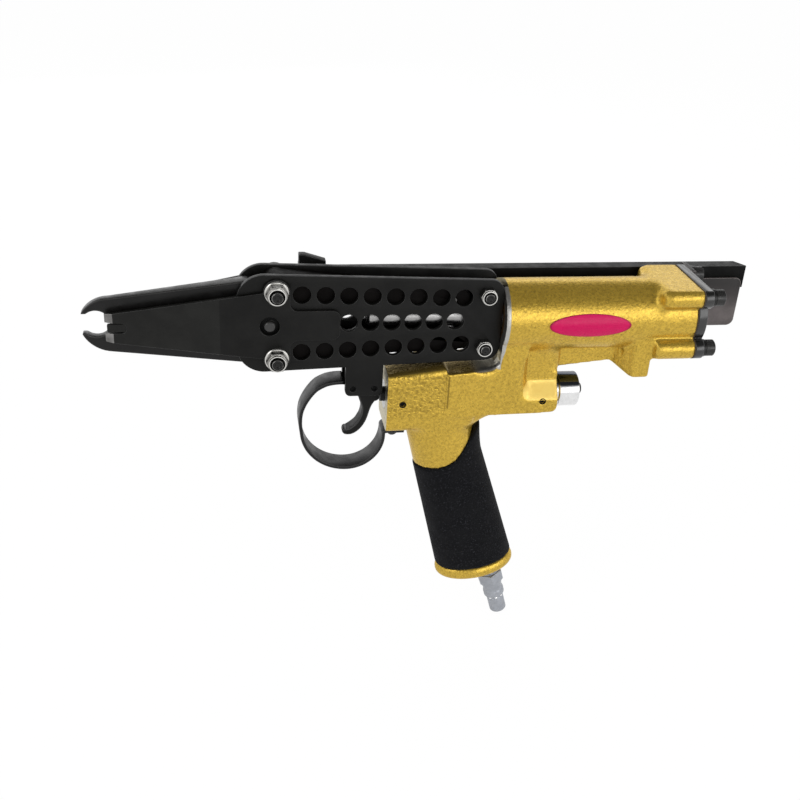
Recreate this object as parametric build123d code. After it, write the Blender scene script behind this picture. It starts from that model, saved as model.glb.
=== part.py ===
from build123d import *

import math
import os

# Pneumatic ring stapler in millimetres: +X to the rear of the tool, +Z up, y = 0 on its mid plane.
# Shapes are drawn from the jaw bolts (x = 0) and the bore axis (z = 0).
# The finished pieces are then set down with the grip's centre at the origin.

# Running clearances
SLIDE_CLEARANCE = 0.05
SIDE_CLEARANCE = 0.2
SEAT_CLEARANCE = 0.02
FREE_CLEARANCE = 0.5

# How far a cutting shape runs past the face it cuts, how much of a head's height its rounding takes,
# and how close two points count as the same
OVERCUT = 1.0
DOME_SHARE = 0.4
SAME_POINT = 0.01

# Perforated side plates
PLATE_GAP = 12.0
PLATE_THICKNESS = 3.0
PLATE_HALF_HEIGHT = 26.0
PLATE_TAPER_DEG = 1.9
PLATE_FRONT_X = -20.0
PLATE_FRONT_RADIUS = 14.0
PLATE_REAR_X = 116.0
PLATE_REAR_RADIUS = 7.0
PERFORATION_RADIUS = 4.6
OUTER_ROW_X = 12.6
OUTER_ROW_Z = 16.0
OUTER_ROW_PITCH = 11.8
OUTER_ROW_COUNT = 8
MIDDLE_ROW_X = 36.4
MIDDLE_ROW_PITCH = 11.0
MIDDLE_ROW_COUNT = 6
TAB_FRONT_X = 35.4
TAB_REAR_X = 55.1
TAB_BOTTOM_Z = -41.8
TAB_RADIUS = 3.0

# Nose plates, laid over the side plates and bent in towards the jaws
NOSE_THICKNESS = 2.5
NOSE_TIP_X = -83.5
NOSE_TIP_HALF_HEIGHT = 7.8
NOSE_TIP_INNER_Y = 4.5
NOSE_BEND_X = -28.0
NOSE_BEVEL_LENGTH = 4.0
NOSE_BEVEL_EDGE = 0.9
NOSE_EAR_RADIUS = 6.7
NOSE_TONGUE_X = 31.7
NOSE_TONGUE_HALF_HEIGHT = 8.0
NOSE_TONGUE_RADIUS = 4.0
NOSE_SLOT_WIDTH = 5.2
NOSE_SLOT_END_X = -73.0
NOSE_PIN_X = -3.5
NOSE_PIN_RADIUS = 2.75
NOSE_PIN_STICK_OUT = 0.8
NOSE_PIN_RECESS_RADIUS = 5.0

# Jaws
JAW_BOLT_Z = 18.0
JAW_BLADE_THICKNESS = 8.0
JAW_HUB_RADIUS = 7.4
JAW_BACK_Z = 23.1
LOWER_JAW_DEEPEN = 1.8
JAW_BUSH_WALL = 1.5
JAW_CLOSE_DEG = 3.04
JAW_CLOSED_GAP = 0.5
NOTCH_X = -88.0
NOTCH_RADIUS = 7.0
HOOK_TIP_X = -95.0
HOOK_GAP = 10.6
JAW_NOSE_MID_X = -91.0
JAW_NOSE_MID_Z = 10.0
JAW_NOSE_TOP_X = -81.5
JAW_NOSE_TOP_Z = 13.3
JAW_SHOULDER_X = -13.0
ARM_REAR_X = 99.0
ARM_INNER_Z = 7.6
ARM_REAR_Z = 13.5
ARM_CHAMFER_X = 93.5
ARM_CHAMFER_Z = 18.4
ARM_CROWN_X = 60.0
ARM_CROWN_Z = 18.5

# Cam rollers in the rear ends of the jaws
ROLLER_X = 90.0
ROLLER_RADIUS = 5.0
ROLLER_WIDTH = 5.0
ROLLER_PIN_RADIUS = 2.0
ROLLER_ROD_CLEARANCE = 0.1

# Fasteners through the plates
JAW_BOLT_RADIUS = 4.0
JAW_THREAD_RADIUS = 3.0
JAW_BOLT_HEAD_RADIUS = 6.5
JAW_BOLT_HEAD_HEIGHT = 4.5
JAW_NUT_FLATS = 10.0
JAW_NUT_HEIGHT = 4.6
JAW_NUT_COLLAR_RADIUS = 4.4
JAW_NUT_COLLAR_HEIGHT = 1.6
JAW_NUT_FLANGE_RADIUS = 6.2
JAW_NUT_FLANGE_HEIGHT = 1.2
JAW_THREAD_STICK_OUT = 1.2
REAR_BOLT_X = 107.4
REAR_BOLT_RADIUS = 2.5
REAR_BOLT_HEAD_RADIUS = 4.6
REAR_BOLT_HEAD_HEIGHT = 3.0
REAR_NUT_FLATS = 8.0
REAR_NUT_HEIGHT = 3.6
REAR_NUT_COLLAR_RADIUS = 3.7
REAR_NUT_COLLAR_HEIGHT = 1.4
REAR_THREAD_STICK_OUT = 0.8

# Drive rod with its cone, piston and cylinder
ROD_TIP_X = 46.0
ROD_PILOT_RADIUS = 5.0
ROD_TIP_CHAMFER = 1.5
CONE_DEG = 9.5
CONE_START_GAP = 0.4
ROD_RADIUS = 10.5
WEDGE_CLEARANCE = 0.3
BORE_RADIUS = 15.5
STROKE = 28.5
PISTON_CAP_GAP = 10.0
PISTON_LENGTH = 12.0
PISTON_SEAL_WIDTH = 3.0
PISTON_SEAL_DEPTH = 2.3
SPIGOT_RADIUS = 5.0
PISTON_NUT_FLATS = 14.0
PISTON_NUT_HEIGHT = 6.0
BUSH_WALL = 2.5
BUMPER_LENGTH = 4.0
BUMPER_WALL = 3.0
RETURN_WIRE_RADIUS = 1.25
RETURN_COIL_RADIUS = 13.2
RETURN_TURNS = 7

# Cast housing
BARREL_FRONT_X = 116.2
BARREL_RADIUS = 19.0
FRONT_WALL = 11.8
BELLY_HALF_WIDTH = 9.0
BELLY_BOTTOM_Z = -19.4
KEEL_HALF_WIDTH = 5.0
KEEL_FRONT_Z = -31.4
KEEL_REAR_Z = -26.3
FLARE_LENGTH = 8.4
FOOT_LENGTH = 9.9
FOOT_LAP = 0.3
FOOT_BOTTOM_Z = -31.5
FOOT_WIDTH = 34.0
FOOT_RADIUS = 1.0
BLOCK_LENGTH = 21.5
BLOCK_REAR_X = 219.5
BLOCK_TOP_Z = 19.2
BLOCK_LOBE_RADIUS = 5.6
LUG_RADIUS = 3.8
LUG_INNER_Z = 11.4
VALVE_Z = -45.4
VALVE_BODY_FRONT_X = 57.3
VALVE_BODY_REAR_X = 150.5
VALVE_BODY_WIDTH = 28.0
VALVE_BODY_RADIUS = 3.0
VALVE_FRONT_TOP_Z = -28.7
VALVE_STEP_TOP_Z = -24.9
STEP_X = 88.3
STEP_HEIGHT = 0.8
POCKET_FRONT_Z = -27.9
POCKET_REAR_Z = -25.3
POCKET_RADIUS = 5.0
NECK_FRONT_Z = -53.8
NECK_REAR_Z = -52.4
NECK_RADIUS = 4.0
WEB_TOP_Z = -10.0
RECESS_FRONT_X = 131.0
RECESS_HALF_WIDTH = 9.0
RECESS_FLOOR_Z = -36.2
RECESS_LEDGE_Z = -43.3
CHIN_BOTTOM_Z = -62.0
CHIN_REAR_X = 106.0
THROAT_FRONT_X = 104.0
THROAT_REAR_X = 120.0
THROAT_BOTTOM_X = 111.0
THROAT_BOTTOM_Z = -64.5
THROAT_MID_X = 113.4
THROAT_MID_Z = -57.0
THROAT_WIDTH = 22.0

# Handle and rubber grip, along a leaning axis through the grip's centre
GRIP_CENTRE_X = 102.25
GRIP_CENTRE_Z = -110.0
HANDLE_LEAN_DEG = 16.57
HANDLE_TOP = -62.0
HANDLE_BOTTOM = 54.6
GRIP_BOTTOM = 47.0
HANDLE_TOP_DEPTH = 35.3
HANDLE_BOTTOM_DEPTH = 44.6
HANDLE_WIDTH = 29.0
FLANGE_LEAN_DEG = 11.0
FLANGE_PROUD = 1.2
FLANGE_RADIUS = 3.6
GRIP_WALL = 3.0
GRIP_PROUD = 0.5
GRIP_FRONT_TOP_Z = -88.6
GRIP_DIP_X = 83.0
GRIP_DIP_Z = -87.4
GRIP_RISE_X = 97.0
GRIP_RISE_Z = -81.0
GRIP_TAIL_X = 103.0
GRIP_TAIL_Z = -72.5
GRIP_TAIL_TOP_X = 113.0
GRIP_TAIL_TOP_Z = -64.0
AIR_BORE_RADIUS = 5.0
AIR_OFFSET = 7.0

# Air plug
PLUG_THREAD_RADIUS = 6.5
PLUG_THREAD_LENGTH = 12.0
PLUG_FREE_THREAD = 7.3
PLUG_FLATS = 14.0
PLUG_HEX_HEIGHT = 7.0
PLUG_NECK_RADIUS = 6.8
PLUG_WAIST_RADIUS = 5.6
PLUG_WAIST_START = 19.4
PLUG_WAIST_END = 20.8
PLUG_BULGE_RADIUS = 6.2
PLUG_BULGE_START = 22.0
PLUG_BULGE_END = 25.1
PLUG_GROOVE_RADIUS = 4.6
PLUG_GROOVE_END = 27.5
PLUG_NOSE_RADIUS = 5.0
PLUG_NOSE_CHAMFER = 0.6
PLUG_BORE_RADIUS = 3.2
PLUG_LENGTH = 38.0

# End cap, gasket and screws
CAP_THICKNESS = 5.0
GASKET_THICKNESS = 0.5
CAP_SCREW_Y = 16.8
CAP_SCREW_Z = 14.4
CAP_SCREW_RADIUS = 2.5
CAP_SCREW_DEPTH = 14.0
CAP_HEAD_RADIUS = 4.4
CAP_HEAD_HEIGHT = 5.5
CAP_SOCKET_FLATS = 4.0
CAP_SOCKET_DEPTH = 2.8
WASHER_RADIUS = 4.7
WASHER_THICKNESS = 1.4

# Trigger valve
VALVE_BORE_RADIUS = 8.0
SLEEVE_WALL = 2.0
GLAND_LENGTH = 12.0
STEM_RADIUS = 4.0
STEM_FRONT_X = 55.0
STEM_LAND_RADIUS = 5.95
STEM_NECK_RADIUS = 3.4
STEM_LAND_LENGTH = 8.0
STEM_LAND_PITCH = 20.0
STEM_FIRST_LAND_X = 76.0
STEM_SEAL_WIDTH = 2.0
STEM_SEAL_DEPTH = 1.2
VALVE_WIRE_RADIUS = 0.5
VALVE_COIL_RADIUS = 4.4
VALVE_TURNS = 8
VALVE_CAP_RADIUS = 9.5
VALVE_CAP_LENGTH = 11.5
VALVE_CAP_GAP = 2.2
VALVE_PLUG_FRONT_X = 132.0
VALVE_SCREW_RADIUS = 3.2
VALVE_SCREW_HEIGHT = 3.0
LOCATING_PIN_RADIUS = 1.5
LOCATING_PIN_FRONT_X = 65.6
LOCATING_PIN_REAR_X = 141.8

# Trigger and its guard
LINK_PIN_Z = -37.8
LINK_PIN_RADIUS = 1.6
GUARD_PIN_X = 39.6
TRIGGER_PIN_X = 50.9
TRIGGER_WIDTH = 8.0
TRIGGER_BOSS_RADIUS = 4.6
TRIGGER_NOSE_RADIUS = 2.5
TRIGGER_STEM_GAP = 0.3
TRIGGER_TIP_RADIUS = 1.7
GUARD_WIDTH = 13.0
GUARD_THICKNESS = 1.8
GUARD_CENTRE_X = 37.6
GUARD_TOP_Z = -38.2
GUARD_FRONT_RADIUS = 24.6
GUARD_REAR_RADIUS = 19.8
GUARD_BEND_RADIUS = 1.4
GUARD_FOOT_X = 68.6
GUARD_PAD_HEIGHT = 2.6
GUARD_BOSS_RADIUS = 3.2
GUARD_SCREW_X = 62.9
GUARD_SCREW_RADIUS = 2.0
GUARD_SCREW_DEPTH = 7.0
GUARD_SCREW_HEAD_RADIUS = 3.4
GUARD_SCREW_HEAD_HEIGHT = 4.4

# The trigger's front edge, tip and rear edge as (x, z) steps from its pin, going round
TRIGGER_FRONT_EDGE = [(-6.1, -4.6), (-4.6, -14.2), (-6.2, -21.2), (-10.6, -25.9)]
TRIGGER_TIP = (-13.9, -28.9)
TRIGGER_REAR_EDGE = [(-7.5, -28.1), (-2.7, -20.7), (-0.9, -14.4)]

# Magazine on the far side
RAIL_NEAR_Y = 24.2
RAIL_WIDTH = 7.5
RAIL_TOP_Z = 16.3
RAIL_HEIGHT = 13.0
RAIL_WALL = 1.6
RAIL_FRONT_X = 8.0
RAIL_OVERHANG = 2.3
RAIL_END_SKEW = 4.5
TRACK_TIP_X = -80.0
TRACK_TIP_WIDTH = 6.0
TRACK_TIP_HEIGHT = 9.0
BRACKET_THICKNESS = 2.5
BRACKET_INNER_Y = 9.0
BRACKET_REACH = 37.0
BRACKET_TOP_Z = 10.0
BRACKET_BOTTOM_Z = -19.0
BRACKET_RADIUS = 4.0
STAY_FRONT_X = 66.0
STAY_LENGTH = 14.0
STAY_TOP_Z = 12.0
STAY_HEIGHT = 8.0
PUSHER_FRONT_X = 13.5
PUSHER_LENGTH = 14.2
PUSHER_WALL = 1.5
PUSHER_TAB_TOP_Z = 24.0
PUSHER_TAB_REAR_Z = 20.5
PUSHER_TAB_WIDTH = 5.0
PUSHER_TAB_FLAT = 3.0
FEED_ROLL_RADIUS = 4.2
FEED_ROLL_WALL = 2.4
FEED_ROLL_WIDTH = 3.4
FEED_BOX_WALL = 1.2

# Oval label on the barrel
LABEL_X = 160.8
LABEL_Z = 0.6
LABEL_LENGTH = 44.0
LABEL_HEIGHT = 12.6
LABEL_THICKNESS = 0.5

# Values that follow from the sizes above
TAPER_SLOPE = math.tan(math.radians(PLATE_TAPER_DEG))
PLATE_INNER_Y = PLATE_GAP / 2
PLATE_OUTER_Y = PLATE_INNER_Y + PLATE_THICKNESS
NOSE_OUTER_Y = PLATE_OUTER_Y + NOSE_THICKNESS
JAW_HALF_HUB = PLATE_INNER_Y - SIDE_CLEARANCE
CLOSE_SLOPE = math.tan(math.radians(JAW_CLOSE_DEG))
CONE_SLOPE = math.tan(math.radians(CONE_DEG))
ROLLER_Z = ROD_PILOT_RADIUS + ROLLER_RADIUS + ROLLER_ROD_CLEARANCE
CONE_START_X = ROLLER_X + CONE_START_GAP
CONE_END_X = CONE_START_X + (ROD_RADIUS - ROD_PILOT_RADIUS) / CONE_SLOPE
REAR_BOLT_Z = JAW_BOLT_Z - REAR_BOLT_X * TAPER_SLOPE
BORE_FRONT_X = BARREL_FRONT_X + FRONT_WALL
BLOCK_FRONT_X = BLOCK_REAR_X - BLOCK_LENGTH
FOOT_REAR_X = BLOCK_FRONT_X + FOOT_LAP
FOOT_FRONT_X = FOOT_REAR_X - FOOT_LENGTH
KEEL_REAR_X = FOOT_FRONT_X - FLARE_LENGTH
CAP_FRONT_X = BLOCK_REAR_X + GASKET_THICKNESS
CAP_REAR_X = CAP_FRONT_X + CAP_THICKNESS
PISTON_REAR_X = CAP_FRONT_X - PISTON_CAP_GAP - PISTON_NUT_HEIGHT
PISTON_FRONT_X = PISTON_REAR_X - PISTON_LENGTH
GUARD_CENTRE_Z = GUARD_TOP_Z - GUARD_FRONT_RADIUS
GUARD_REAR_X = GUARD_CENTRE_X + GUARD_REAR_RADIUS
GUARD_SEAT_Z = CHIN_BOTTOM_Z - GUARD_PAD_HEIGHT
HANDLE_END = (GRIP_BOTTOM + HANDLE_BOTTOM) / 2
VALVE_HALF_WIDTH = VALVE_BODY_WIDTH / 2
VALVE_REAR_HALF_WIDTH = VALVE_HALF_WIDTH + STEP_HEIGHT
VALVE_CAP_FRONT_X = VALVE_BODY_REAR_X + VALVE_CAP_GAP
VALVE_CAP_REAR_X = VALVE_CAP_FRONT_X + VALVE_CAP_LENGTH
BRACKET_REAR_X = CAP_REAR_X + BRACKET_REACH
RAIL_REAR_X = BRACKET_REAR_X + RAIL_OVERHANG
RAIL_FAR_Y = RAIL_NEAR_Y + RAIL_WIDTH
RAIL_MID_Y = RAIL_NEAR_Y + RAIL_WIDTH / 2
RAIL_BOTTOM_Z = RAIL_TOP_Z - RAIL_HEIGHT


def along_x(sketch, x0, x1):
    """Extrude a sketch of (y, z) from x0 to x1."""
    return extrude(Plane.YZ.offset(x0) * sketch, x1 - x0)


def along_y(sketch, y0, y1):
    """Extrude a sketch of (x, z) from y0 to y1."""
    return extrude(Plane.XZ.offset(-y1) * sketch, y1 - y0)


def along_z(sketch, z0, z1):
    """Extrude a sketch of (x, y) from z0 to z1."""
    return extrude(Plane.XY.offset(z0) * sketch, z1 - z0)


def bar_x(radius, x0, x1, y=0.0, z=0.0):
    """A round bar along X."""
    return along_x(Pos(y, z) * Circle(radius), x0, x1)


def bar_y(radius, y0, y1, x, z):
    """A round bar along Y."""
    return along_y(Pos(x, z) * Circle(radius), y0, y1)


def box_between(x0, x1, y0, y1, z0, z1):
    """A box given by its faces."""
    return Pos((x0 + x1) / 2, (y0 + y1) / 2, (z0 + z1) / 2) * Box(x1 - x0, y1 - y0, z1 - z0)


def turned_on_x(points):
    """Turn a closed profile of (x, radius) points about the X axis."""
    return revolve(Plane.XZ * make_face(Polyline(*points, close=True)), Axis.X)


def hexagon(flats):
    """A hexagon by its width across flats."""
    return RegularPolygon(flats / 2, 6, major_radius=False)


def to_far_side(shape):
    """Mirror a near piece to the far side."""
    return mirror(shape, about=Plane.XZ)


def group(shapes):
    """Keep separate solids together as one piece."""
    return Compound(children=list(shapes))


def plate_edge_z(x):
    """Half height of the tapered side plate at x."""
    return PLATE_HALF_HEIGHT - x * TAPER_SLOPE


def coil_on_x(name, coil_radius, wire_radius, x0, x1, turns, z):
    """One unbroken wire wound about an axis along X, as quarter turn arcs."""
    start = x0 + wire_radius
    rise = (x1 - x0 - 2 * wire_radius) / turns
    quarter = 4 * turns

    def point(step):
        angle = math.pi / 2 * step
        return Vector(
            start + rise * step / 4, coil_radius * math.cos(angle), z + coil_radius * math.sin(angle)
        )

    path = Wire([Edge.make_three_point_arc(point(i), point(i + 0.5), point(i + 1)) for i in range(quarter)])
    print(name, "least gap between turns", round(rise - 2 * wire_radius, 2), "mm")
    return sweep(Plane(path @ 0, z_dir=path % 0) * Circle(wire_radius), path)


# Side plates and nose plates

def side_plate():
    """The near perforated plate with its tab for the trigger and guard pins."""
    front_z = plate_edge_z(PLATE_FRONT_X)
    rear_z = plate_edge_z(PLATE_REAR_X)
    outline = make_face(
        Polyline(
            (PLATE_FRONT_X, -front_z),
            (PLATE_REAR_X, -rear_z),
            (PLATE_REAR_X, rear_z),
            (PLATE_FRONT_X, front_z),
            close=True,
        )
    )
    outline = fillet(outline.vertices().group_by(Axis.X)[0], PLATE_FRONT_RADIUS)
    outline = fillet(outline.vertices().group_by(Axis.X)[-1], PLATE_REAR_RADIUS)
    tab_length = TAB_REAR_X - TAB_FRONT_X
    tab_height = -TAB_BOTTOM_Z
    tab_middle = (TAB_FRONT_X + TAB_REAR_X) / 2
    tab = Pos(tab_middle, TAB_BOTTOM_Z + tab_height / 2) * Rectangle(tab_length, tab_height)
    tab = fillet(tab.vertices().group_by(Axis.Y)[0], TAB_RADIUS)
    outline = outline + tab
    holes = []
    for i in range(OUTER_ROW_COUNT):
        x = OUTER_ROW_X + i * OUTER_ROW_PITCH
        z = OUTER_ROW_Z - x * TAPER_SLOPE
        holes.append(Pos(x, z) * Circle(PERFORATION_RADIUS))
        holes.append(Pos(x, -z) * Circle(PERFORATION_RADIUS))
    for i in range(MIDDLE_ROW_COUNT):
        holes.append(Pos(MIDDLE_ROW_X + i * MIDDLE_ROW_PITCH, 0) * Circle(PERFORATION_RADIUS))
    for z in (JAW_BOLT_Z, -JAW_BOLT_Z):
        holes.append(Pos(0, z) * Circle(JAW_BOLT_RADIUS + SEAT_CLEARANCE))
    for z in (REAR_BOLT_Z, -REAR_BOLT_Z):
        holes.append(Pos(REAR_BOLT_X, z) * Circle(REAR_BOLT_RADIUS + SEAT_CLEARANCE))
    for x in (GUARD_PIN_X, TRIGGER_PIN_X):
        holes.append(Pos(x, LINK_PIN_Z) * Circle(LINK_PIN_RADIUS + SEAT_CLEARANCE))
    holes.append(Pos(NOSE_PIN_X, 0) * Circle(NOSE_PIN_RADIUS + SEAT_CLEARANCE))
    return along_y(outline - holes, -PLATE_OUTER_Y, -PLATE_INNER_Y)


def nose_plate():
    """The near nose plate: ears on the jaw bolts, a tongue to the rear and a bevelled, slotted tip."""
    shoulder_z = JAW_BOLT_Z - SIDE_CLEARANCE
    blade = make_face(
        Polyline(
            (NOSE_TIP_X, -NOSE_TIP_HALF_HEIGHT),
            (-NOSE_EAR_RADIUS, -shoulder_z),
            (0, -shoulder_z),
            (0, shoulder_z),
            (-NOSE_EAR_RADIUS, shoulder_z),
            (NOSE_TIP_X, NOSE_TIP_HALF_HEIGHT),
            close=True,
        )
    )
    waist = Rectangle(2 * NOSE_EAR_RADIUS, 2 * JAW_BOLT_Z)
    ears = [Pos(0, z) * Circle(NOSE_EAR_RADIUS) for z in (JAW_BOLT_Z, -JAW_BOLT_Z)]
    tongue = Pos(NOSE_TONGUE_X / 2, 0) * Rectangle(NOSE_TONGUE_X, 2 * NOSE_TONGUE_HALF_HEIGHT)
    tongue = fillet(tongue.vertices().group_by(Axis.X)[-1], NOSE_TONGUE_RADIUS)
    outline = blade + waist + ears + tongue
    inner_corners = [
        v
        for v in outline.vertices()
        if abs(v.X - NOSE_EAR_RADIUS) < SAME_POINT and abs(abs(v.Y) - NOSE_TONGUE_HALF_HEIGHT) < SAME_POINT
    ]
    outline = fillet(inner_corners, NOSE_TONGUE_RADIUS)
    slot_length = NOSE_SLOT_END_X - NOSE_TIP_X
    slot = Pos(NOSE_TIP_X + slot_length / 2 - NOSE_SLOT_WIDTH / 4, 0) * Rectangle(
        slot_length - NOSE_SLOT_WIDTH / 2, NOSE_SLOT_WIDTH
    )
    slot_end = Pos(NOSE_SLOT_END_X - NOSE_SLOT_WIDTH / 2, 0) * Circle(NOSE_SLOT_WIDTH / 2)
    holes = [slot, slot_end, Pos(NOTCH_X, 0) * Circle(NOTCH_RADIUS)]
    holes += [Pos(0, z) * Circle(JAW_BOLT_RADIUS + SEAT_CLEARANCE) for z in (JAW_BOLT_Z, -JAW_BOLT_Z)]
    holes.append(Pos(NOSE_PIN_X, 0) * Circle(NOSE_PIN_RECESS_RADIUS))
    flat = along_y(outline - holes, -NOSE_OUTER_Y, 0)
    fall = (PLATE_OUTER_Y - NOSE_TIP_INNER_Y) / (NOSE_BEND_X - NOSE_TIP_X)
    bevel_x = NOSE_TIP_X + NOSE_BEVEL_LENGTH
    bevel_y = NOSE_TIP_INNER_Y + NOSE_THICKNESS + fall * NOSE_BEVEL_LENGTH
    bent = make_face(
        Polyline(
            (NOSE_TONGUE_X, -PLATE_OUTER_Y),
            (NOSE_BEND_X, -PLATE_OUTER_Y),
            (NOSE_TIP_X, -NOSE_TIP_INNER_Y),
            (NOSE_TIP_X, -NOSE_TIP_INNER_Y - NOSE_BEVEL_EDGE),
            (bevel_x, -bevel_y),
            (NOSE_BEND_X, -NOSE_OUTER_Y),
            (NOSE_TONGUE_X, -NOSE_OUTER_Y),
            close=True,
        )
    )
    reach = JAW_BOLT_Z + NOSE_EAR_RADIUS + FREE_CLEARANCE
    return flat & along_z(bent, -reach, reach)


def nose_pin():
    """The centre pin that ties the two side plates together."""
    half = NOSE_OUTER_Y + NOSE_PIN_STICK_OUT
    return chamfer(bar_y(NOSE_PIN_RADIUS, -half, half, NOSE_PIN_X, 0).edges(), FREE_CLEARANCE)


# Jaws

def inner_edge_z(x):
    """Height of the open upper jaw's inner edge, so that the closed jaws lie parallel."""
    return JAW_CLOSED_GAP / 2 - x * CLOSE_SLOPE


def hooked_jaw(deepen):
    """A jaw in its upper place: hooked blade deepened at its back, thick hub and a slotted rear arm."""
    hook_z = HOOK_GAP / 2
    hook_x = NOTCH_X - math.sqrt(NOTCH_RADIUS**2 - hook_z**2)
    rear_angle = math.asin(inner_edge_z(NOTCH_X + NOTCH_RADIUS) / NOTCH_RADIUS)
    notch_rear = (NOTCH_X + NOTCH_RADIUS * math.cos(rear_angle), NOTCH_RADIUS * math.sin(rear_angle))
    hub_top = JAW_BOLT_Z + JAW_HUB_RADIUS
    hub_slant = JAW_HUB_RADIUS * math.sqrt(0.5)
    nose_mid = (JAW_NOSE_MID_X, JAW_NOSE_MID_Z + deepen / 2)
    nose_top = (JAW_NOSE_TOP_X, JAW_NOSE_TOP_Z + deepen)
    blade_edges = [
        ThreePointArc((HOOK_TIP_X, hook_z), nose_mid, nose_top),
        Polyline(
            nose_top,
            (0, JAW_BACK_Z + deepen),
            (0, JAW_BOLT_Z),
            (-hub_slant, JAW_BOLT_Z - hub_slant),
            (JAW_SHOULDER_X, inner_edge_z(JAW_SHOULDER_X)),
            notch_rear,
        ),
        ThreePointArc(notch_rear, (NOTCH_X, NOTCH_RADIUS), (hook_x, hook_z)),
        Line((hook_x, hook_z), (HOOK_TIP_X, hook_z)),
    ]
    half_blade = JAW_BLADE_THICKNESS / 2
    jaw = along_y(make_face(blade_edges), -half_blade, half_blade)
    arm = make_face(
        Polyline(
            (0, JAW_BOLT_Z - JAW_HUB_RADIUS + FREE_CLEARANCE),
            (ROD_TIP_X, ARM_INNER_Z),
            (ARM_REAR_X, ARM_INNER_Z),
            (ARM_REAR_X, ARM_REAR_Z),
            (ARM_CHAMFER_X, ARM_CHAMFER_Z),
            (ARM_CROWN_X, ARM_CROWN_Z),
            (0, hub_top - SIDE_CLEARANCE),
            close=True,
        )
    )
    jaw += along_y(arm, -JAW_HALF_HUB, JAW_HALF_HUB)
    jaw += bar_y(JAW_HUB_RADIUS, -JAW_HALF_HUB, JAW_HALF_HUB, 0, JAW_BOLT_Z)
    jaw -= bar_y(bush_outer_radius(), -PLATE_GAP, PLATE_GAP, 0, JAW_BOLT_Z)
    slot_half = ROLLER_WIDTH / 2 + SIDE_CLEARANCE
    slot_reach = ROLLER_RADIUS + FREE_CLEARANCE
    jaw -= box_between(
        ROLLER_X - slot_reach, ARM_REAR_X + OVERCUT, -slot_half, slot_half, 0, ROLLER_Z + slot_reach
    )
    jaw -= bar_y(ROLLER_PIN_RADIUS, -PLATE_GAP, PLATE_GAP, ROLLER_X, ROLLER_Z)
    return jaw


def bush_outer_radius():
    """Outer radius of the bush pressed into a jaw's hub."""
    return JAW_BOLT_RADIUS + SLIDE_CLEARANCE + JAW_BUSH_WALL


def jaw_bush():
    """The bush that runs on the jaw bolt."""
    bush = bar_y(bush_outer_radius(), -JAW_HALF_HUB, JAW_HALF_HUB, 0, JAW_BOLT_Z)
    return bush - bar_y(JAW_BOLT_RADIUS + SLIDE_CLEARANCE, -PLATE_GAP, PLATE_GAP, 0, JAW_BOLT_Z)


def cam_roller():
    """The roller that the cone lifts."""
    roller = bar_y(ROLLER_RADIUS, -ROLLER_WIDTH / 2, ROLLER_WIDTH / 2, ROLLER_X, ROLLER_Z)
    return roller - bar_y(ROLLER_PIN_RADIUS + SLIDE_CLEARANCE, -PLATE_GAP, PLATE_GAP, ROLLER_X, ROLLER_Z)


def roller_pin():
    """The pin that carries a cam roller."""
    return bar_y(ROLLER_PIN_RADIUS, -JAW_HALF_HUB, JAW_HALF_HUB, ROLLER_X, ROLLER_Z)


def to_lower_side(shape):
    """Mirror an upper piece below the bore axis."""
    return mirror(shape, about=Plane.XY)


# Fasteners through the plates

def plate_bolt(x, z, shank, head_radius, head_height, stack, thread, thread_length):
    """A bolt with a domed head on the far side and a thread on the near side."""
    bolt = bar_y(shank, -stack, stack, x, z)
    bolt += bar_y(thread, -stack - thread_length, -stack, x, z)
    head = bar_y(head_radius, stack, stack + head_height, x, z)
    head = fillet(head.faces().sort_by(Axis.Y)[-1].edges(), head_height * DOME_SHARE)
    return bolt + head


def lock_nut(x, z, flats, height, collar_radius, collar_height, thread, stack):
    """A nut with a rounded collar, on the near side."""
    nut = along_y(Pos(x, z) * hexagon(flats), -stack - height, -stack)
    collar = bar_y(collar_radius, -stack - height - collar_height, -stack - height, x, z)
    collar = fillet(collar.faces().sort_by(Axis.Y)[0].edges(), collar_height * DOME_SHARE)
    return nut + collar - bar_y(thread + SEAT_CLEARANCE, -stack - 2 * height, -stack, x, z)


def jaw_bolts():
    """The two bolts that the jaws turn on."""
    reach = JAW_NUT_HEIGHT + JAW_NUT_COLLAR_HEIGHT + JAW_THREAD_STICK_OUT
    return group(
        plate_bolt(
            0,
            z,
            JAW_BOLT_RADIUS,
            JAW_BOLT_HEAD_RADIUS,
            JAW_BOLT_HEAD_HEIGHT,
            NOSE_OUTER_Y,
            JAW_THREAD_RADIUS,
            reach,
        )
        for z in (JAW_BOLT_Z, -JAW_BOLT_Z)
    )


def jaw_nuts():
    """The flanged lock nuts on the jaw bolts."""
    nuts = []
    for z in (JAW_BOLT_Z, -JAW_BOLT_Z):
        nut = lock_nut(
            0,
            z,
            JAW_NUT_FLATS,
            JAW_NUT_HEIGHT,
            JAW_NUT_COLLAR_RADIUS,
            JAW_NUT_COLLAR_HEIGHT,
            JAW_THREAD_RADIUS,
            NOSE_OUTER_Y,
        )
        face_y = -NOSE_OUTER_Y - JAW_NUT_FLANGE_HEIGHT
        flange = bar_y(JAW_NUT_FLANGE_RADIUS, face_y, -NOSE_OUTER_Y, 0, z)
        flange = chamfer(flange.faces().sort_by(Axis.Y)[0].edges(), JAW_NUT_FLANGE_HEIGHT * DOME_SHARE)
        nuts.append(nut + (flange - bar_y(JAW_THREAD_RADIUS + SEAT_CLEARANCE, face_y, -NOSE_OUTER_Y, 0, z)))
    return group(nuts)


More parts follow.
